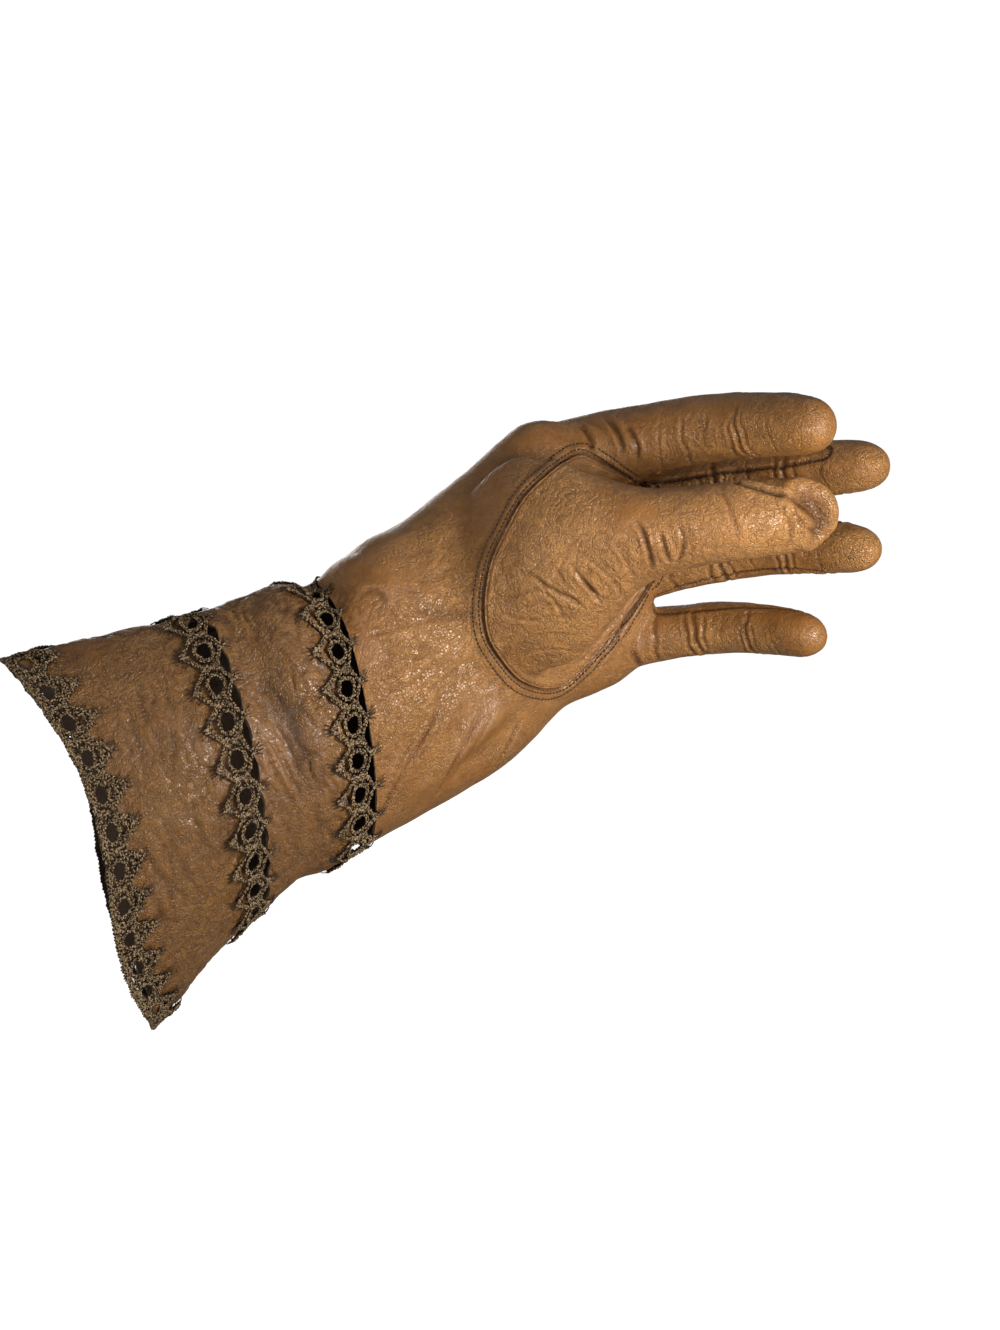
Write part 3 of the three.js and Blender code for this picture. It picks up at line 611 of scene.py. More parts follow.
# half breadth and depth in millimetres, then the places in the picture that the crease runs through
inner_creases = [
    (0.8, 0.5, (229, 711), (247, 721), (262, 744), (272, 768), (288, 795), (302, 823)),
    (0.8, 0.5, (251, 721), (268, 738), (282, 760), (294, 784), (306, 805)),
    (0.7, 0.4, (241, 729), (251, 756), (262, 784), (276, 811), (294, 840)),
    (0.8, 0.45, (266, 715), (280, 733), (294, 760), (304, 784)),
    (5.0, 0.6, (255, 686), (276, 707), (294, 740), (306, 776), (313, 805)),
    (5.0, -0.6, (227, 699), (262, 729), (282, 760), (298, 795)),
    (0.7, 0.3, (285, 636), (300, 650), (312, 668)),
    (0.7, 0.3, (296, 690), (318, 702), (330, 722)),
    (0.7, 0.3, (212, 640), (222, 655), (238, 668), (246, 690)),
]
outer_creases = [
    (0.9, 0.35, (139, 680), (144, 715), (159, 744), (162, 779)),
    (0.8, 0.3, (169, 715), (174, 744), (172, 769)),
    (0.9, 0.6, (157, 869), (169, 889), (172, 914)),
    (0.8, 0.4, (149, 874), (142, 904), (144, 924)),
    (0.8, 0.3, (120, 690), (131, 720), (140, 752), (146, 790)),
    (0.8, 0.3, (190, 790), (197, 820), (205, 850)),
    (1.0, 0.3, (178, 690), (188, 726), (196, 760)),
]


half_insertion = INSERTION_BREADTH / 2 + SEAT_GAP
UNDER_CROCHET = 2.3
edge_middle = -CUFF_LENGTH + EDGE_BREADTH / 2
inner_ring = cuff_ring("leather_cuff_inner", -MIDDLE_INSERTION + half_insertion,
                       -UPPER_INSERTION - UNDER_CROCHET, 22, 20, inner_creases, 11, deeper_behind=5)
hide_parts("cuff_panel_inner")
outer_ring = cuff_ring("leather_cuff_outer", edge_middle + 0.7,
                       -MIDDLE_INSERTION - UNDER_CROCHET, 26, 22, outer_creases, 12, deeper_behind=5.6)
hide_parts("cuff_panel_outer")


# The crochet bands

# Two insertions and the mouth's edging are crocheted by hand in a firm tan and brown cord: a row of rings,
# joined at knots, with a pointed picot over each ring that is whipped down to the leather's edge.

CORD_RADIUS = 0.31
PLAIT_BREADTH, PLAIT_HEIGHT = 0.48, 0.42
PLAIT_LENGTH = 3.3
CELL = 11.2

# Cord: dark brown with light flecks, with painted light and shade on the plait: its crowns lighter, the
# threads lower in it darker
crochet, tree, shader = new_material("crochet_cord", 0.8)
place = node(tree, "TexCoord").outputs["Object"]
plait_shading = node(tree, "Attribute", attribute_name="fold").outputs["Fac"]
flecks = speckle(tree, place, 1500, 3, 0.7)
twist = speckle(tree, place, 2600, 2)
wear = speckle(tree, place, 90, 2)
share = grade(tree, math_node(tree, "ADD", plait_shading, grade(tree, flecks, 0.35, 0.65, -0.5, 0.5)), 0.78, 1.18)
tone = mix_colour(tree, share, (0.015, 0.007, 0.004, 1), (0.500, 0.355, 0.195, 1))
tone = mix_colour(tree, math_node(tree, "MULTIPLY", share, twist), tone, (0.55, 0.41, 0.25, 1))
tone = mix_colour(tree, math_node(tree, "MULTIPLY", wear, 0.3), tone, (0.075, 0.042, 0.024, 1))
colour_and_relief(tree, shader, tone, math_node(tree, "ADD", twist, flecks), 0.8, 0.0002)
shader.inputs["Specular IOR Level"].default_value = 0.3

dark_thread, tree, shader = new_material("dark_thread", 0.7)
place = node(tree, "TexCoord").outputs["Object"]
fuzz = speckle(tree, place, 1500, 3)
tone = mix_colour(tree, fuzz, (0.016, 0.007, 0.004, 1), (0.070, 0.032, 0.016, 1))
colour_and_relief(tree, shader, tone, fuzz, 0.6, 0.0001)


def cord_strands(joints):
    """The three plaited threads of a cord that runs through flat joints."""
    joints = [(x, y, 0) for x, y in joints]
    length = length_of(curve_through(joints, 60))
    line = curve_through(joints, max(8, int(length / 0.41)))
    ahead = unit(np.gradient(line, axis=0))
    side = np.stack([-ahead[:, 1], ahead[:, 0], ahead[:, 2]], axis=1)
    plaits = np.linspace(0, 1, len(line)) * max(1, round(length / PLAIT_LENGTH))
    for third in range(3):
        phase = 2 * math.pi * (plaits + third / 3)
        strand = line + side * (PLAIT_BREADTH * np.sin(phase))[:, None]
        strand[:, 2] += PLAIT_HEIGHT * np.sin(2 * phase)
        yield strand


def threads_to_mesh(name, strands, radius):
    """Round threads along lines of points, as one mesh."""
    bpy.ops.object.select_all(action="DESELECT")
    bpy.ops.curve.primitive_bezier_curve_add()
    thread = bpy.context.object
    thread.name = name
    curve = thread.data
    curve.splines.clear()
    curve.dimensions = "3D"
    curve.bevel_depth = radius * MM
    curve.bevel_resolution = 0
    curve.use_fill_caps = True
    for strand in strands:
        spline = curve.splines.new("POLY")
        spline.points.add(len(strand) - 1)
        spline.points.foreach_set("co", np.c_[strand * MM, np.ones(len(strand))].ravel())
    bpy.ops.object.convert(target="MESH")
    return bpy.context.object


def finish_thread(piece, material):
    """Smooth shading, material and slot of a thread."""
    only(piece)
    bpy.ops.object.shade_smooth()
    piece.data.materials.clear()
    piece.data.materials.append(material)
    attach(piece, "root")


def ring_joints(x, y, wide, high, count=12):
    """Joints of a closed ring."""
    angles = np.linspace(0, 2 * math.pi, count + 1)
    return [(x + wide * math.cos(a), y + high * math.sin(a)) for a in angles]


def mirrored(joints):
    """A line from a repeat's first knot to its middle, with its other half."""
    return joints + [(CELL - x, y) for x, y in joints[-2::-1]]


def crochet_band(name, middle, repeats, lies_on, cords, lashes, node_name, seed):
    """One repeat of the crochet, copied round the arm and laid on its surface, over the leather's edges."""
    band = threads_to_mesh(name, [strand for joints in cords for strand in cord_strands(joints)], CORD_RADIUS)
    whips = threads_to_mesh(name + "_lashing", [np.array(lash, float) for lash in lashes], 0.15)
    for piece in (band, whips):
        finish_modifier(piece, "ARRAY", count=repeats, use_relative_offset=False, use_constant_offset=True,
                        constant_offset_displace=(CELL * MM, 0, 0))
        flat = places_of(piece)
        below, above = lies_on
        rest = np.clip(np.maximum(below + 0.6 - flat[:, 1], flat[:, 1] - above + 0.6) / 1.4, 0, 1)
        # Painted light and shade for the cord's colour: the higher a thread stands in the plait, the lighter
        keep_fold(piece, np.clip(0.5 + flat[:, 2] / 0.9, 0, 1))
        x, y, z = (flat + wander(flat / 2.1, seed) * (0.5, 0.5, 0.35)).T
        points = arm_point(middle + y, 1 - x / (CELL * repeats), z + 0.1 + 0.65 * rest)
        move_to(piece, points + 0.3 * wander(points / 5.3, seed))
        work_on(piece, bpy.ops.mesh.flip_normals)
        finish_thread(piece, crochet if piece is band else dark_thread)
    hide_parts(node_name)


half = CELL / 2
picot = mirrored([(0, 1.8), (1.8, 3.5), (3.9, 5.5), (half, 6.8)])
rail = mirrored([(0, 2.4), (2.2, 3.2), (4.2, 4.3), (half, 5.3)])
rays = [(half + 0.9 * dx, half + 1.7 * dx, 2.6 - 0.5 * abs(dx)) for dx in (-1.0, -0.35, 0.4, 1.1)]
lash_below = [[(x, -6.6, 0.1), ((x + far) / 2, -7.2 - run / 3, 0.15), (far, -7.0 - run, -0.55)]
              for x, far, run in rays]
lash_above = [[(x, 5.6, 0.1), ((x + far) / 2, 6.4 + run / 3, 0.15), (far, 6.1 + run, -0.55)]
              for x, far, run in rays]
side_below = [[(half + 2.0 * dx, -4.8, 0.1), (half + 2.7 * dx, -5.8, 0.1), (half + 3.3 * dx, -6.7, -0.5)]
              for dx in (-1, 1)]
insertion_cords = [
    ring_joints(half, 0, 3.3, 2.7), [(-1.5, -2.0), (0, 0), (1.5, 2.0)], [(-1.5, 2.0), (0, 0), (1.5, -2.0)],
    [(0, -2.2), (0, 2.2)], [(x, -y) for x, y in picot], ring_joints(half, -6.4, 0.9, 0.9, 8),
    rail, ring_joints(half, 5.5, 0.8, 0.8, 8),
]
insertion_lashes = lash_below + side_below + lash_above
edge_cords = [
    ring_joints(half, -2.4, 3.3, 2.5),
    [(-1.4, -4.3), (0, -2.4), (1.4, -0.5)], [(-1.4, -0.5), (0, -2.4), (1.4, -4.3)], [(0, -5.2), (0, 0)],
    mirrored([(0, -5.0), (2.8, -5.5), (half, -5.7)]), mirrored([(0, -6.1), (half, -6.3)]),
    mirrored([(0, -0.4), (1.8, 1.0), (3.8, 3.3), (half, 5.0)]),
    mirrored([(1.7, -0.6), (3.6, 1.2), (half, 2.6)]),
    ring_joints(half, 4.9, 0.9, 0.9, 8),
]
edge_lashes = [[(x, -y - 1.8, z) for x, y, z in lash] for lash in lash_below + side_below]
crochet_band("crochet_upper", -UPPER_INSERTION, 20, (-2.3, 5.8), insertion_cords, insertion_lashes,
             "lace_insertion_upper", 61)
crochet_band("crochet_middle", -MIDDLE_INSERTION, 22, (-2.3, 5.8), insertion_cords, insertion_lashes,
             "lace_insertion_middle", 71)
crochet_band("crochet_edge", edge_middle, 26, (-9, 0.7), edge_cords, edge_lashes, "lace_edge", 81)


# The hand's skin

# Palm, back, finger stalls and thumb are thin kid sewn close over the hand, so they are modelled as one
# skin in its worn shape, folded and wrinkled, and only then cut along the seams into the real pieces.

SKIN_CELL = 0.62
THUMB_WIDTH, THUMB_DEPTH = 25, 23
FINGER_LENGTH, FINGER_WIDTH, FINGER_DEPTH = 104, 22, 23.5
FINGER_ACROSS, THUMB_ACROSS = np.array((0.0, 0.0, 1.0)), np.array((0.05, 0.28, 0.96))
PATH_POINTS = 600

# knuckle x, y, z: shares of the palm's sizes; bones: shares of the finger length; bends: degrees;
# splay: degrees; width, depth: shares
fingers = [
    ("index", (1.00, 0.06, 0.445), (0.44, 0.25, 0.23), (38, 24, 10), -3, 1.14, 1.06),
    ("middle", (1.02, 0.08, 0.190), (0.47, 0.29, 0.24), (32, 22, 10), -2, 1.00, 1.00),
    ("ring", (0.98, 0.06, -0.056), (0.44, 0.27, 0.24), (35, 24, 11), -3, 0.95, 0.96),
    ("little", (0.89, 0.02, -0.285), (0.36, 0.20, 0.21), (38, 24, 11), -5, 0.89, 0.87),
]
# along, across, thick, lift, edge: 1 is an ellipse, more is a lens
finger_sections = np.array([
    (0.00, 0.86, 0.84, 0, 1), (0.12, 1.00, 1.02, 0, 1), (0.20, 0.98, 1.02, 0, 1), (0.38, 0.90, 0.94, 0, 1),
    (0.54, 0.87, 0.90, 0, 1), (0.77, 0.82, 0.78, 0, 1), (0.88, 0.78, 0.72, 0, 1), (0.95, 0.66, 0.60, 0, 1),
    (0.985, 0.44, 0.40, 0, 1), (1.00, 0.22, 0.20, 0, 1),
])
thumb_sections = np.array([
    (0.00, 1.35, 0.90, 0.00, 1.6), (0.08, 1.86, 1.22, 0.00, 1.7), (0.17, 2.32, 1.40, 0.03, 1.8),
    (0.26, 2.62, 1.52, 0.14, 1.8), (0.34, 2.64, 1.55, 0.25, 1.7), (0.41, 2.36, 1.48, 0.30, 1.4),
    (0.48, 1.78, 1.32, 0.25, 1.1), (0.54, 1.34, 1.20, 0.16, 1.0), (0.62, 1.07, 1.08, 0.05, 1.0),
    (0.72, 0.99, 0.98, 0.00, 1.0), (0.83, 0.96, 0.84, 0.00, 1.0), (0.92, 0.90, 0.66, 0.00, 1.0),
    (0.97, 0.68, 0.46, 0.00, 1.0), (1.00, 0.30, 0.24, 0.00, 1.0),
])
# length, and direction
thumb_bones = [(46, (0.80, -0.59, 0.11)), (35, (0.80, -0.60, 0.04)), (43, (0.86, -0.46, -0.21))]
thumb_root = [(0.24, -0.04, 0.15), (0.36, -0.16, 0.15)]
# The full leather over the web: centre and half sizes
WEB_FILLING, WEB_SIZE = (65, -11.5, 32), (24, 11, 14)


def add_ball(name, sides, rings):
    """A closed ball to be drawn out into shape, with its share from pole to pole, its angle and its poles."""
    bpy.ops.object.select_all(action="DESELECT")
    bpy.ops.mesh.primitive_uv_sphere_add(segments=sides, ring_count=rings, radius=1)
    ball = bpy.context.object
    ball.name = name
    x, y, z = (places_of(ball) * MM).T
    return ball, np.arccos(np.clip(z, -1, 1)) / math.pi, np.arctan2(y, x), np.hypot(x, y) < 0.001


def in_hand(share):
    """A place given in shares of the palm's sizes, in millimetres."""
    return np.array(share) * (PALM_LENGTH, PALM_DEPTH, PALM_WIDTH)


def at_share(line, share):
    """Places on a line of points, at shares of its points."""
    place = share * (len(line) - 1)
    return np.stack([np.interp(place, np.arange(len(line)), line[:, k]) for k in range(3)], axis=1)


def add_stall(name, path, rows, width, depth, across, inset=0.0, rings=150, sides=72):
    """A closed finger of leather along a path: a ball drawn out, ring by ring."""
    stall, share, angle, pole = add_ball(name, sides, rings)
    angle = -angle
    ahead = unit(np.gradient(path, axis=0))
    reach = 1 - max(inset, 0) / length_of(path)
    centre, ahead = at_share(path, share * reach), at_share(ahead, share * reach)
    side = unit(across - ahead * (ahead @ across)[:, None])
    out = np.cross(ahead, side)
    wide, thick, lift, edge = between(rows, share).T
    half_width = np.where(pole, 0, wide * width / 2 - inset)
    half_depth = np.where(pole, 0, thick * depth / 2 - inset)
    move_to(stall, centre + side * (lift * width + np.cos(angle) * half_width)[:, None]
            + out * (np.sign(np.sin(angle)) * np.abs(np.sin(angle)) ** edge * half_depth)[:, None])
    return stall


def finger_path(knuckle, bones, bends, splay, depth):
    """Joints of a finger: a start inside the palm, the knuckle, two joints and the tip."""
    place = in_hand(knuckle)
    joints = [place - (0.6 * depth * FINGER_DEPTH, 0, 0), place]
    bend, splay = 0, math.radians(splay)
    for bone, degrees in zip(bones, bends):
        bend += math.radians(degrees)
        ahead = np.array((math.cos(bend) * math.cos(splay), -math.sin(bend) * math.cos(splay),
                          math.sin(splay)))
        joints.append(joints[-1] + ahead * bone * FINGER_LENGTH)
    return curve_through(joints, PATH_POINTS)


finger_paths = {name: finger_path(knuckle, bones, bends, splay, depth)
                for name, knuckle, bones, bends, splay, width, depth in fingers}
joints = [in_hand(place) for place in thumb_root]
for length, ahead in thumb_bones:
    joints.append(joints[-1] + length * unit(np.array(ahead)))
thumb_path = curve_through(joints, PATH_POINTS)

hand_start = -UPPER_INSERTION + half_insertion
hand_end = palm_sections[-1][0] * PALM_LENGTH
START_MARGIN = 3
skin, share, turn, pole = add_ball("leather_hand", 300, 240)
turn = turn / (2 * math.pi)
along = hand_start - START_MARGIN + (hand_end - hand_start + START_MARGIN) * share
points = arm_point(along, turn)
for end in (points[:, 0] < hand_start, points[:, 0] > 0):
    points[pole & end] = points[end & (np.abs(share - share[pole & end].mean()) < 0.01)].mean(axis=0)
move_to(skin, points)
parts = [skin]
for name, knuckle, bones, bends, splay, width, depth in fingers:
    parts.append(add_stall("stall_" + name, finger_paths[name], finger_sections, width * FINGER_WIDTH,
                           depth * FINGER_DEPTH, FINGER_ACROSS))
parts.append(add_stall("stall_thumb", thumb_path, thumb_sections, THUMB_WIDTH, THUMB_DEPTH, THUMB_ACROSS))
parts.append(add_ball("web_filling", 64, 32)[0])
move_to(parts[-1], places_of(parts[-1]) * MM * WEB_SIZE + WEB_FILLING)
only(skin)
for part in parts:
    part.select_set(True)
bpy.ops.object.join()
finish_modifier(skin, "REMESH", mode="VOXEL", voxel_size=SKIN_CELL * MM)


def edges_of(piece):
    """Both ends of every edge of a mesh."""
    flat = np.empty(len(piece.data.edges) * 2, np.int64)
    piece.data.edges.foreach_get("vertices", flat)
    return flat.reshape(-1, 2)


def relax(points, edges, weight, rounds):
    """Draws each point that has a weight towards the middle of its neighbours."""
    edges = edges[(weight[edges] > 0.001).any(axis=1)]
    used, edges = np.unique(edges, return_inverse=True)
    a, b = edges.reshape(-1, 2).T
    weight, moved = weight[used][:, None], points[used]
    count = np.bincount(np.concatenate([a, b]), minlength=len(used))
    for _ in range(rounds):
        middle = np.stack([np.bincount(a, moved[b, k], len(used)) + np.bincount(b, moved[a, k], len(used))
                           for k in range(3)], axis=1) / count[:, None]
        moved += (middle - moved) * weight
    points = points.copy()
    points[used] = moved
    return points


# The leather is drawn tight: a little everywhere, more over the thumb's web and along the oval's seam
edges = edges_of(skin)
points = relax(places_of(skin), edges, np.full(len(skin.data.vertices), 0.5), 11)
web = np.exp(-(np.linalg.norm((points - (66, -22, 20)) / (34, 20, 30), axis=1)) ** 4)
points = relax(points, edges, 0.5 * web, 160)
move_to(skin, points)
seam_pixels = [(578, 453), (562, 462), (545, 475), (522, 498), (505, 528), (490, 560), (483, 600), (486, 635),
               (500, 660), (520, 682), (545, 690), (565, 686), (582, 671)]
beside = np.exp(-(gaps_to(points, seen_line(skin, seam_pixels), 24) / 13) ** 4)
points = relax(points, edges, 0.5 * beside, 260)
move_to(skin, points)

# half breadth and depth in millimetres, then the places in the picture that the crease runs through
hand_creases = [
    (1.0, 0.8, (534, 578), (554, 591), (571, 599), (585, 608)),
    (0.9, 0.7, (581, 578), (591, 589), (599, 601), (606, 600)),
    (0.9, 0.5, (583, 555), (597, 565), (613, 580), (622, 596)),
    (0.7, 0.4, (558, 606), (562, 616)),
    (0.8, 0.4, (501, 614), (522, 619), (542, 621)),
    (0.8, 0.3, (501, 604), (513, 596), (530, 590)),
    (0.8, 0.3, (554, 580), (562, 563), (571, 551)),
    (0.9, 1.0, (634, 521), (642, 531), (646, 543), (650, 557), (652, 569)),
    (0.9, 0.8, (659, 531), (663, 543), (667, 557), (671, 563)),
    (0.8, 0.6, (677, 522), (683, 537), (681, 555), (675, 565)),
    (0.8, 0.35, (685, 520), (689, 531), (688, 543)),
    (1.4, 0.25, (612, 541), (624, 555), (630, 569), (634, 584)),
    (0.9, 0.6, (711, 488), (723, 495), (730, 509), (735, 524), (737, 536)),
    (1.5, 1.2, (728, 481), (751, 486), (774, 493), (795, 499), (809, 511), (818, 518)),
    (1.2, 0.9, (788, 501), (795, 516), (805, 526), (814, 532), (820, 537)),
    (1.0, 0.6, (787, 516), (790, 530), (788, 543), (780, 549)),
    (0.8, 0.4, (763, 547), (776, 536)),
    (1.2, 1.0, (579, 425), (587, 433), (591, 443), (591, 454)),
    (1.2, 1.0, (603, 417), (613, 426), (620, 441), (623, 454)),
    (1.0, 0.9, (625, 424), (633, 437), (637, 447), (636, 461)),
    (0.9, 0.4, (583, 422), (595, 425), (603, 429)),
    (0.6, 0.25, (660, 416), (658, 441), (661, 461), (665, 476)),
    (0.6, 0.2, (666, 435), (665, 461)),
    (1.1, 0.9, (591, 679), (613, 643), (632, 606), (652, 576)),
    (0.8, 0.5, (598, 663), (624, 627), (644, 590)),
    (1.5, 0.6, (362, 590), (377, 592), (385, 601)),
    (1.0, 0.7, (379, 818), (391, 795), (408, 763), (423, 738), (437, 709)),
    (0.8, 0.45, (394, 792), (410, 769), (433, 738), (444, 723)),
    (0.8, 0.4, (389, 786), (404, 753), (417, 732)),
    (1.0, 0.6, (427, 807), (440, 788), (456, 761), (471, 732), (482, 709)),
    (0.9, 0.35, (444, 790), (459, 769), (479, 740), (494, 713)),
    (1.0, 0.6, (496, 765), (505, 751), (515, 732), (521, 719)),
    (0.6, 0.4, (502, 615), (526, 607), (554, 605), (573, 612)),
    (0.6, 0.4, (511, 600), (533, 591), (549, 595), (561, 612)),
    (0.6, 0.35, (526, 624), (549, 617), (573, 619)),
    (0.6, 0.35, (521, 572), (540, 581), (549, 600)),
    (0.7, 0.5, (569, 562), (583, 581), (597, 595), (609, 600)),
    (0.6, 0.4, (595, 557), (609, 569), (621, 581)),
    (0.7, 0.3, (506, 658), (540, 650), (588, 653)),
    (0.6, 0.3, (548, 560), (560, 575), (566, 590)),
    (0.6, 0.3, (600, 540), (612, 552), (620, 566)),
    (0.6, 0.3, (515, 640), (545, 634), (575, 636)),
    (0.8, 0.35, (371, 682), (391, 675), (417, 659), (440, 650)),
    (0.8, 0.35, (379, 652), (398, 656), (423, 659)),
    (0.8, 0.3, (383, 640), (402, 644), (425, 646), (446, 644)),
    (0.8, 0.3, (364, 637), (387, 631), (410, 625)),
    (0.8, 0.25, (377, 623), (394, 625), (417, 623), (440, 617)),
    (0.8, 0.35, (371, 698), (389, 692), (408, 684), (425, 677)),
    (0.8, 0.25, (417, 682), (429, 667), (444, 656)),
    (0.8, 0.2, (423, 694), (440, 682), (459, 667), (475, 650)),
    (0.8, 0.2, (398, 629), (423, 637), (452, 635), (475, 631)),
    (5.0, 0.6, (414, 604), (437, 615), (475, 615)),
]


def on_finger(path, width, depth, share, degrees):
    """A place on a finger: a share of its path, and degrees round it, with 90 on the palm side."""
    k = int(share * (len(path) - 1))
    ahead = unit(path[k + 1] - path[k])
    side = unit(FINGER_ACROSS - ahead * (ahead @ FINGER_ACROSS))
    wide, thick, lift, edge = between(finger_sections, np.array([share]))[0]
    angle = np.radians(degrees)
    return (path[k] + side * (lift * width + np.cos(angle) * wide * width / 2)
            + np.cross(ahead, side) * (np.sin(angle) * thick * depth / 2))


# share of the path, middle and half span in degrees, half breadth, depth
finger_wrinkles = [
    (0.46, 90, 60, 0.7, 0.55), (0.495, 86, 78, 0.8, 0.8), (0.525, 95, 62, 0.6, 0.45),
    (0.7, 88, 58, 0.6, 0.4), (0.725, 92, 74, 0.7, 0.7), (0.75, 85, 50, 0.6, 0.35),
    (0.33, 84, 55, 0.8, 0.5), (0.24, 92, 66, 0.9, 0.8), (0.47, -88, 45, 0.8, 0.35),
    (0.5, -92, 62, 0.8, 0.5), (0.53, -86, 48, 0.7, 0.35), (0.72, -90, 55, 0.7, 0.4),
    (0.74, -84, 42, 0.6, 0.3), (0.26, -90, 55, 1.0, 0.4), (0.61, 75, 40, 0.5, 0.25),
    (0.84, 100, 45, 0.5, 0.25),
]
normals = normals_of(skin)
lines = [(seen_line(skin, pixels), min(breadth, 0.4 + 0.4 * breadth), depth)
         for breadth, depth, *pixels in hand_creases]
for k, (name, knuckle, bones, bends, splay, width, depth) in enumerate(fingers):
    for j, (share, middle, span, breadth, deep) in enumerate(finger_wrinkles):
        if name == "index" and 20 < middle and share < 0.5:
            continue
        degrees = middle + np.linspace(-span, span, 15) * (1 + 0.15 * math.sin(5 * k + 3 * j))
        lean = 0.012 * math.sin(2.3 * k + 1.7 * j)
        line = [on_finger(finger_paths[name], width * FINGER_WIDTH, depth * FINGER_DEPTH,
                          share + lean * (turn - middle) / span + 0.004 * math.sin(turn / 9 + j), turn)
                for turn in degrees]
        lines.append((np.array(line), breadth, deep))
pressed = crease_lift(points, lines)
slow = noise(points / 19, 5)
fine = furrows(points, (3.4, 2.2, 2.4), 0.15, 51) * np.clip(0.4 + 1.2 * slow, 0.1, 1)
# The empty tip of the thumb is pushed in, with a soft rim round the dent
dent_pixels = [(806, 497), (818, 508), (824, 523), (823, 534)]
pad = gaps_to(points, seen_line(skin, dent_pixels), 11)
dent = -3.6 * np.exp(-(pad / 3.5) ** 2) + 1.1 * np.exp(-((pad - 6.4) / 2.0) ** 2)
lift = pressed + 0.2 * fine + 0.25 * noise(points / 8, 52) + dent
points = points + normals * lift[:, None]
move_to(skin, points)
# Painted shade for the colour: darker in the creases, the furrows and the thumb tip's dent
keep_fold(skin, -pressed * 0.8 - 0.3 * fine - 0.25 * dent)


# The thumb

# The thumb's stall and its large oval base are one piece of the same kid, let into the palm. It is cut from
# the skin along the oval's seam: inside what the camera sees of the seam, and all of the thumb beyond it.

def closed_curve(points, count):
    """Points of a smooth closed curve through a few places."""
    points = np.array(points)
    t = np.linspace(0, 1, 12, endpoint=False)[:, None]
    run = []
    for i in range(len(points)):
        p0, p1, p2, p3 = (points[(i + k) % len(points)] for k in (-1, 0, 1, 2))
        run.append(0.5 * (2 * p1 + (p2 - p0) * t + (2 * p0 - 5 * p1 + 4 * p2 - p3) * t ** 2
                          + (3 * p1 - p0 - 3 * p2 + p3) * t ** 3))
    line = np.concatenate(run + [points[:1]])
    return even_points(line, count + 1)[:-1]


oval_pixels = seam_pixels + [
    (605, 645), (630, 612), (650, 580), (662, 550), (664, 520), (655, 498), (640, 484),
    (620, 474), (600, 462), (588, 455),
]
bpy.ops.object.select_all(action="DESELECT")
bpy.ops.mesh.primitive_cylinder_add(vertices=160, radius=1, depth=2)
thumb_cutter = bpy.context.object
ball = places_of(thumb_cutter) * MM
ends = []
for depth in (-1.4, -100):
    sight = [sight_line(px, py) for px, py in oval_pixels]
    ends.append(closed_curve([camera_place + way * ((depth - camera_place.y) / way.y) for way in sight], 160))
order = np.round(np.arctan2(ball[:, 1], ball[:, 0]) / (2 * math.pi) * 160).astype(int) % 160
move_to(thumb_cutter, np.where(ball[:, 2:] > 0, ends[1][order], ends[0][order]))
work_on(thumb_cutter, bpy.ops.mesh.normals_make_consistent, inside=False)

SLEEVE_START = 0.54
beyond = thumb_sections[thumb_sections[:, 0] >= SLEEVE_START].copy()
rest = thumb_path[int(SLEEVE_START * (len(thumb_path) - 1)):]
tip_margin = THUMB_WIDTH / 4
rest = even_points(np.concatenate([rest, [rest[-1] + unit(rest[-1] - rest[-2]) * tip_margin]]), 400)
length = length_of(thumb_path)
beyond[:, 0] = (beyond[:, 0] - SLEEVE_START) * length / (length * (1 - SLEEVE_START) + tip_margin)
beyond[-2:, 1:3] = beyond[-3, 1:3]
beyond[-1, 0] = 1
beyond[:, 4] = 1
sleeve = add_stall("cutter_thumb", rest, beyond, THUMB_WIDTH, THUMB_DEPTH, THUMB_ACROSS, inset=-1.2, rings=60)
finish_modifier(thumb_cutter, "BOOLEAN", object=sleeve, operation="UNION", solver="MANIFOLD")

marker = bpy.data.materials.new("cut_face")


def mark_slots(piece, index):
    """Two material slots, leather and cut face, with all faces in one of them."""
    piece.data.materials.clear()
    piece.data.materials.append(None)
    piece.data.materials.append(marker)
    piece.data.polygons.foreach_set("material_index", [index] * len(piece.data.polygons))


def copy_of(piece, name):
    """A piece's twin with its own mesh."""
    only(piece)
    bpy.ops.object.duplicate()
    twin = bpy.context.object
    twin.name = name
    return twin


def cut_open(piece, cutter, operation):
    """Cuts a closed skin with a closed cutter, whose faces keep their own slot."""
    finish_modifier(piece, "BOOLEAN", object=cutter, operation=operation, solver="MANIFOLD")


def drop_cut_faces(piece):
    """Takes away the faces that a cutter left, so that the piece is open along its seams."""
    only(piece)
    bpy.ops.object.mode_set(mode="EDIT")
    bpy.ops.mesh.select_mode(type="FACE")
    bpy.ops.mesh.select_all(action="DESELECT")
    piece.active_material_index = 1
    bpy.ops.object.material_slot_select()
    bpy.ops.mesh.delete(type="FACE")
    bpy.ops.object.mode_set(mode="OBJECT")


mark_slots(skin, 0)
mark_slots(thumb_cutter, 1)
whole = copy_of(skin, "whole_skin")
thumb = copy_of(skin, "leather_thumb")
cut_open(thumb, thumb_cutter, "INTERSECT")
cut_open(skin, thumb_cutter, "DIFFERENCE")


# The forked strips between the fingers

# A narrow forked strip of the same kid runs up one finger, round the gap and down the next one, and gives
# the stalls their thickness. Each is cut from the skin by a slab that lies between two fingers.

FOURCHETTE_BREADTH = 12
# share of the finger's path, share of the breadth
fourchette_rows = np.array([
    (0.12, 0.30), (0.20, 0.42), (0.30, 0.80), (0.42, 1.00), (0.58, 0.95), (0.74, 0.75), (0.88, 0.30),
])


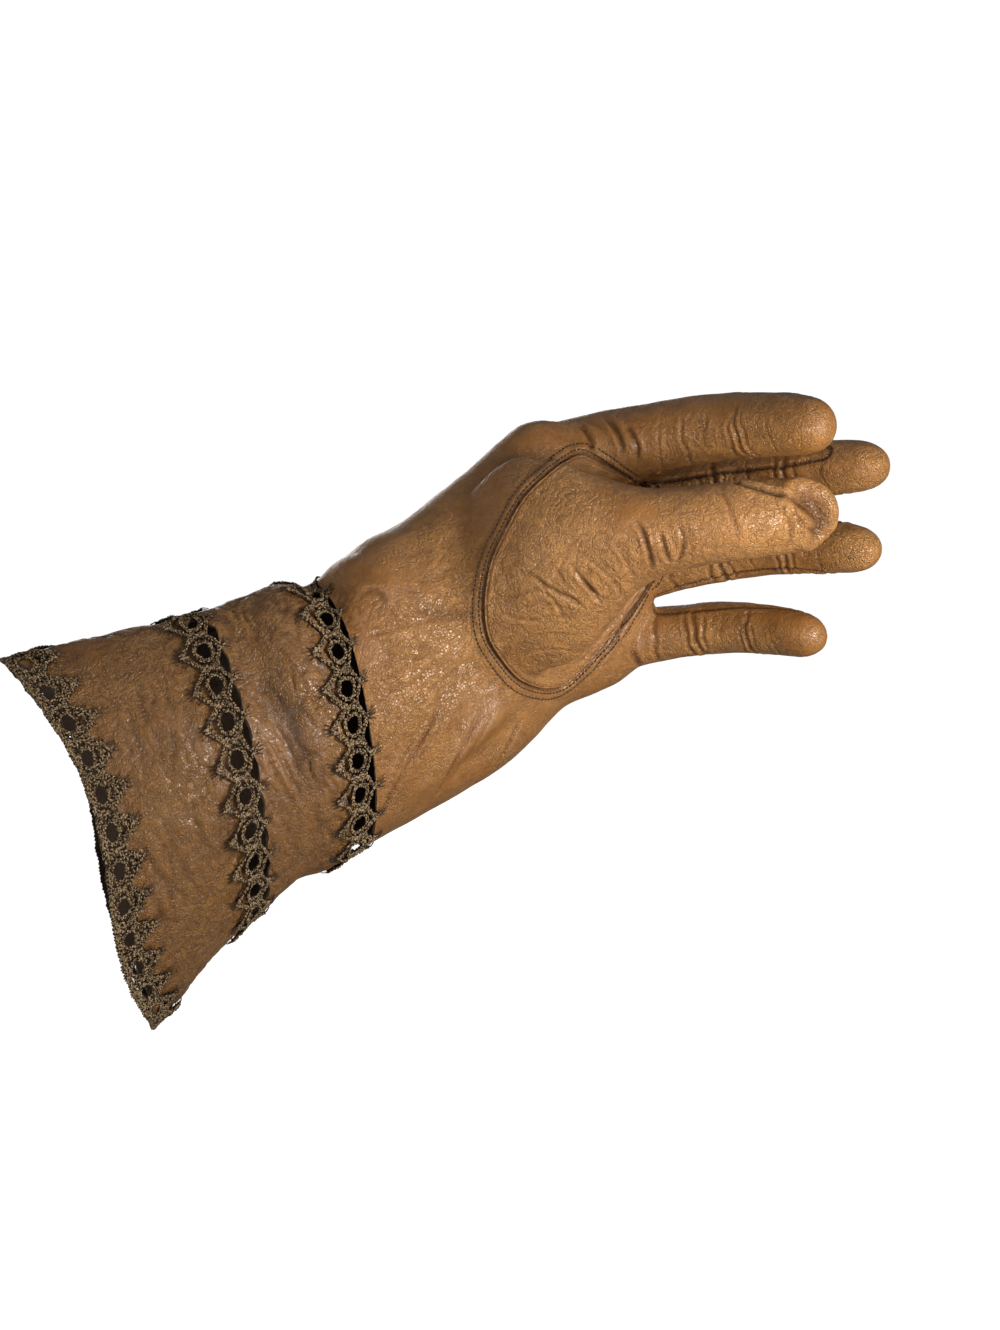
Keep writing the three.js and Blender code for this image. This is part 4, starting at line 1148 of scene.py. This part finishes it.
def fourchette_cutter(first, second):
    """A closed slab from one finger's axis to the next one's, as broad as the forked strip between them."""
    slab, share, angle, pole = add_ball("cutter_fourchette", 16, 80)
    along = fourchette_rows[0, 0] + share * np.ptp(fourchette_rows[:, 0])
    breadth = between(fourchette_rows, along)[:, 0] * FOURCHETTE_BREADTH / 2
    at = lambda line: at_share(line, along)
    a, b = at(finger_paths[first]), at(finger_paths[second])
    ahead = at(np.gradient(finger_paths[first] + finger_paths[second], axis=0))
    up = unit(np.cross(ahead, b - a))
    wide = np.where(pole, 0, np.sign(np.cos(angle)) * np.abs(np.cos(angle)) ** 0.3)
    high = np.where(pole, 0, np.sign(np.sin(angle)) * np.abs(np.sin(angle)) ** 0.3)
    move_to(slab, (a + b) / 2 + (b - a) / 2 * wide[:, None] + up * (high * breadth)[:, None])
    work_on(slab, bpy.ops.mesh.normals_make_consistent, inside=False)
    return slab


fourchettes, tools = [], [thumb_cutter, sleeve]
for first, second in (("index", "middle"), ("middle", "ring"), ("ring", "little")):
    slab = fourchette_cutter(first, second)
    mark_slots(slab, 1)
    strip = copy_of(skin, f"leather_fourchette_{first}_{second}")
    cut_open(strip, slab, "INTERSECT")
    cut_open(skin, slab, "DIFFERENCE")
    fourchettes.append((strip, f"fourchette_{first}_{second}"))
    tools.append(slab)
for piece in (skin, thumb, *[strip for strip, name in fourchettes]):
    drop_cut_faces(piece)
for piece in tools:
    bpy.data.objects.remove(piece)


# The seams and their stitches

# The pieces are sewn edge to edge with dark thread: two rows of short stitches beside the thumb's oval, one
# row on each side of a forked strip. The seams draw the leather in, and the thumb's edge stands as a welt.

def seams_of(piece, shortest=12):
    """The open edges of a piece, as smooth closed lines of points."""
    used = np.empty(len(piece.data.loops), np.int64)
    piece.data.loops.foreach_get("edge_index", used)
    open_edges = edges_of(piece)[np.bincount(used, minlength=len(piece.data.edges)) == 1]
    beside = {}
    for a, b in open_edges.tolist():
        beside.setdefault(a, []).append(b)
        beside.setdefault(b, []).append(a)
    points, left, lines = places_of(piece), set(beside), []
    while left:
        run = [left.pop()]
        while True:
            onward = [k for k in beside[run[-1]] if k in left]
            if not onward:
                break
            left.discard(onward[0])
            run.append(onward[0])
        line = points[run + run[:1]]
        if length_of(line) > shortest:
            line = even_points(line, int(length_of(line) / 0.7))[:-1]
            for _ in range(6):
                line = (np.roll(line, 1, axis=0) + 2 * line + np.roll(line, -1, axis=0)) / 4
            lines.append(line)
    return sorted(lines, key=lambda line: -length_of(line))


def ways_out(points):
    """The direction out of the whole skin at each point."""
    return np.array([whole.closest_point_on_mesh(point * MM)[2] for point in points])


def sink_seam(pieces, line, breadth, depth):
    """Draws the leather of several pieces in along a seam, the same way in all of them."""
    for piece in pieces:
        points = places_of(piece)
        gap = gaps_to(points, np.concatenate([line, line[:1]]), 4 * breadth) / breadth
        near = np.flatnonzero(gap < 4)
        gap = gap[near]
        if not len(near):
            continue
        press = 0.35 * np.exp(-(gap - 2.1) ** 2) - np.exp(-gap ** 2)
        points[near] += ways_out(points[near]) * (depth * press)[:, None]
        move_to(piece, points)
        # Painted shade: the leather's colour darkens along the seam's groove
        fold = piece.data.attributes["fold"]
        deep = np.empty(len(points), np.float32)
        fold.data.foreach_get("value", deep)
        deep[near] = np.clip(deep[near] + 0.9 * np.exp(-(gap / 0.8) ** 2), -1, 1)
        fold.data.foreach_set("value", deep)


def beside_seam(line, offset, lift=0.0):
    """The line beside a closed seam, outside of it for a positive offset, at a height over the leather."""
    out = ways_out(line)
    for _ in range(8):
        out = (np.roll(out, 1, axis=0) + out + np.roll(out, -1, axis=0)) / 3
    ahead = np.roll(line, -2, axis=0) - np.roll(line, 2, axis=0)
    side = unit(np.cross(ahead, out))
    if (side * (line - line.mean(axis=0))).sum() < 0:
        side = -side
    return line + side * offset + out * lift


def row_of_stitches(line, pieces, pitch=1.45, length=0.95, lift=0.1):
    """Short threads in a row along a line, each sunk at both ends, on the nearest of a few pieces."""
    count = int(length_of(line) / pitch)
    places = even_points(line, 2 * count + 1)
    strands = []
    for k in range(1, 2 * count, 2):
        ahead = unit(places[k + 1] - places[k - 1])
        found = [piece.closest_point_on_mesh(places[k] * MM) for piece in pieces]
        hit = min(found, key=lambda hit: (Vector(places[k] * MM) - hit[1]).length)
        base, up = np.array(hit[1]) / MM, np.array(hit[2])
        half = ahead * length / 2
        strands.append(np.array([base - half - 0.12 * up, base - half * 0.5 + lift * up,
                                 base + half * 0.5 + lift * up, base + half - 0.12 * up]))
    return strands


seat = between(arm_sections, np.array([hand_start]))[0]
work_on(skin, bpy.ops.mesh.bisect, plane_co=(hand_start * MM, 0, seat[3] * MM),
        plane_no=(1, 0, -seat[4] / (seat[0] / 2)), clear_inner=True)

thumb_seam = seams_of(thumb)[0]
sink_seam((skin, thumb), thumb_seam, 0.9, 0.85)
for strip, name in fourchettes:
    for line in seams_of(strip):
        sink_seam((skin, strip, thumb), line, 0.7, 0.55)

# Two rows on the hand's side of the thumb's seam, and the thumb's turned edge as a fine welt
strands = []
for offset in (1.3, 3.3):
    strands += row_of_stitches(beside_seam(thumb_seam, offset), [skin])
for strip, name in fourchettes:
    for seam in seams_of(strip):
        strands += row_of_stitches(beside_seam(seam, 0.9), [skin, strip], pitch=1.5, length=0.8)
STITCH_RADIUS, WELT_RADIUS = 0.27, 0.42
stitches = threads_to_mesh("hand_stitches", strands, STITCH_RADIUS)
finish_thread(stitches, dark_thread)
hand_kid = kid_material("hand_kid", (0.105, 0.038, 0.006), (0.345, 0.152, 0.034), (0.450, 0.220, 0.060), 1.0)
welt_line = beside_seam(thumb_seam, -0.85, lift=-0.05)
welt = threads_to_mesh("thumb_welt", [np.concatenate([welt_line, welt_line[:1]])], WELT_RADIUS)
only(welt)
bpy.ops.object.shade_smooth()
welt.data.materials.clear()
welt.data.materials.append(hand_kid)
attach(welt, "root")


# The leather of the hand

# The outside is smooth tan kid, a little brighter than the cuff's, and the napped flesh side lies behind it.
# The edges at the seams and at the wrist are as thick as the leather.

def line_leather(piece, keep, lining):
    """Gives leather its thickness: the outside keeps a share of its faces, the inside fewer."""
    if keep < 1:
        finish_modifier(piece, "DECIMATE", ratio=keep)
    piece.data.materials.clear()
    piece.data.polygons.foreach_set("material_index", [0] * len(piece.data.polygons))
    piece.vertex_groups.new(name="lining")
    thicken(piece, hand_kid, shell_vertex_group="lining")
    finish_modifier(piece, "DECIMATE", ratio=lining, vertex_group="lining", vertex_group_factor=10)
    only(piece)
    bpy.ops.object.shade_smooth_by_angle(angle=SMOOTH_ANGLE)
    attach(piece, "root")


line_leather(skin, 0.54, 0.60)
line_leather(thumb, 1.0, 0.60)
for strip, name in fourchettes:
    line_leather(strip, 1.0, 0.60)
    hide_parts(name)
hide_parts("hand_trank")
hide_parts("thumb")
bpy.data.objects.remove(whole)
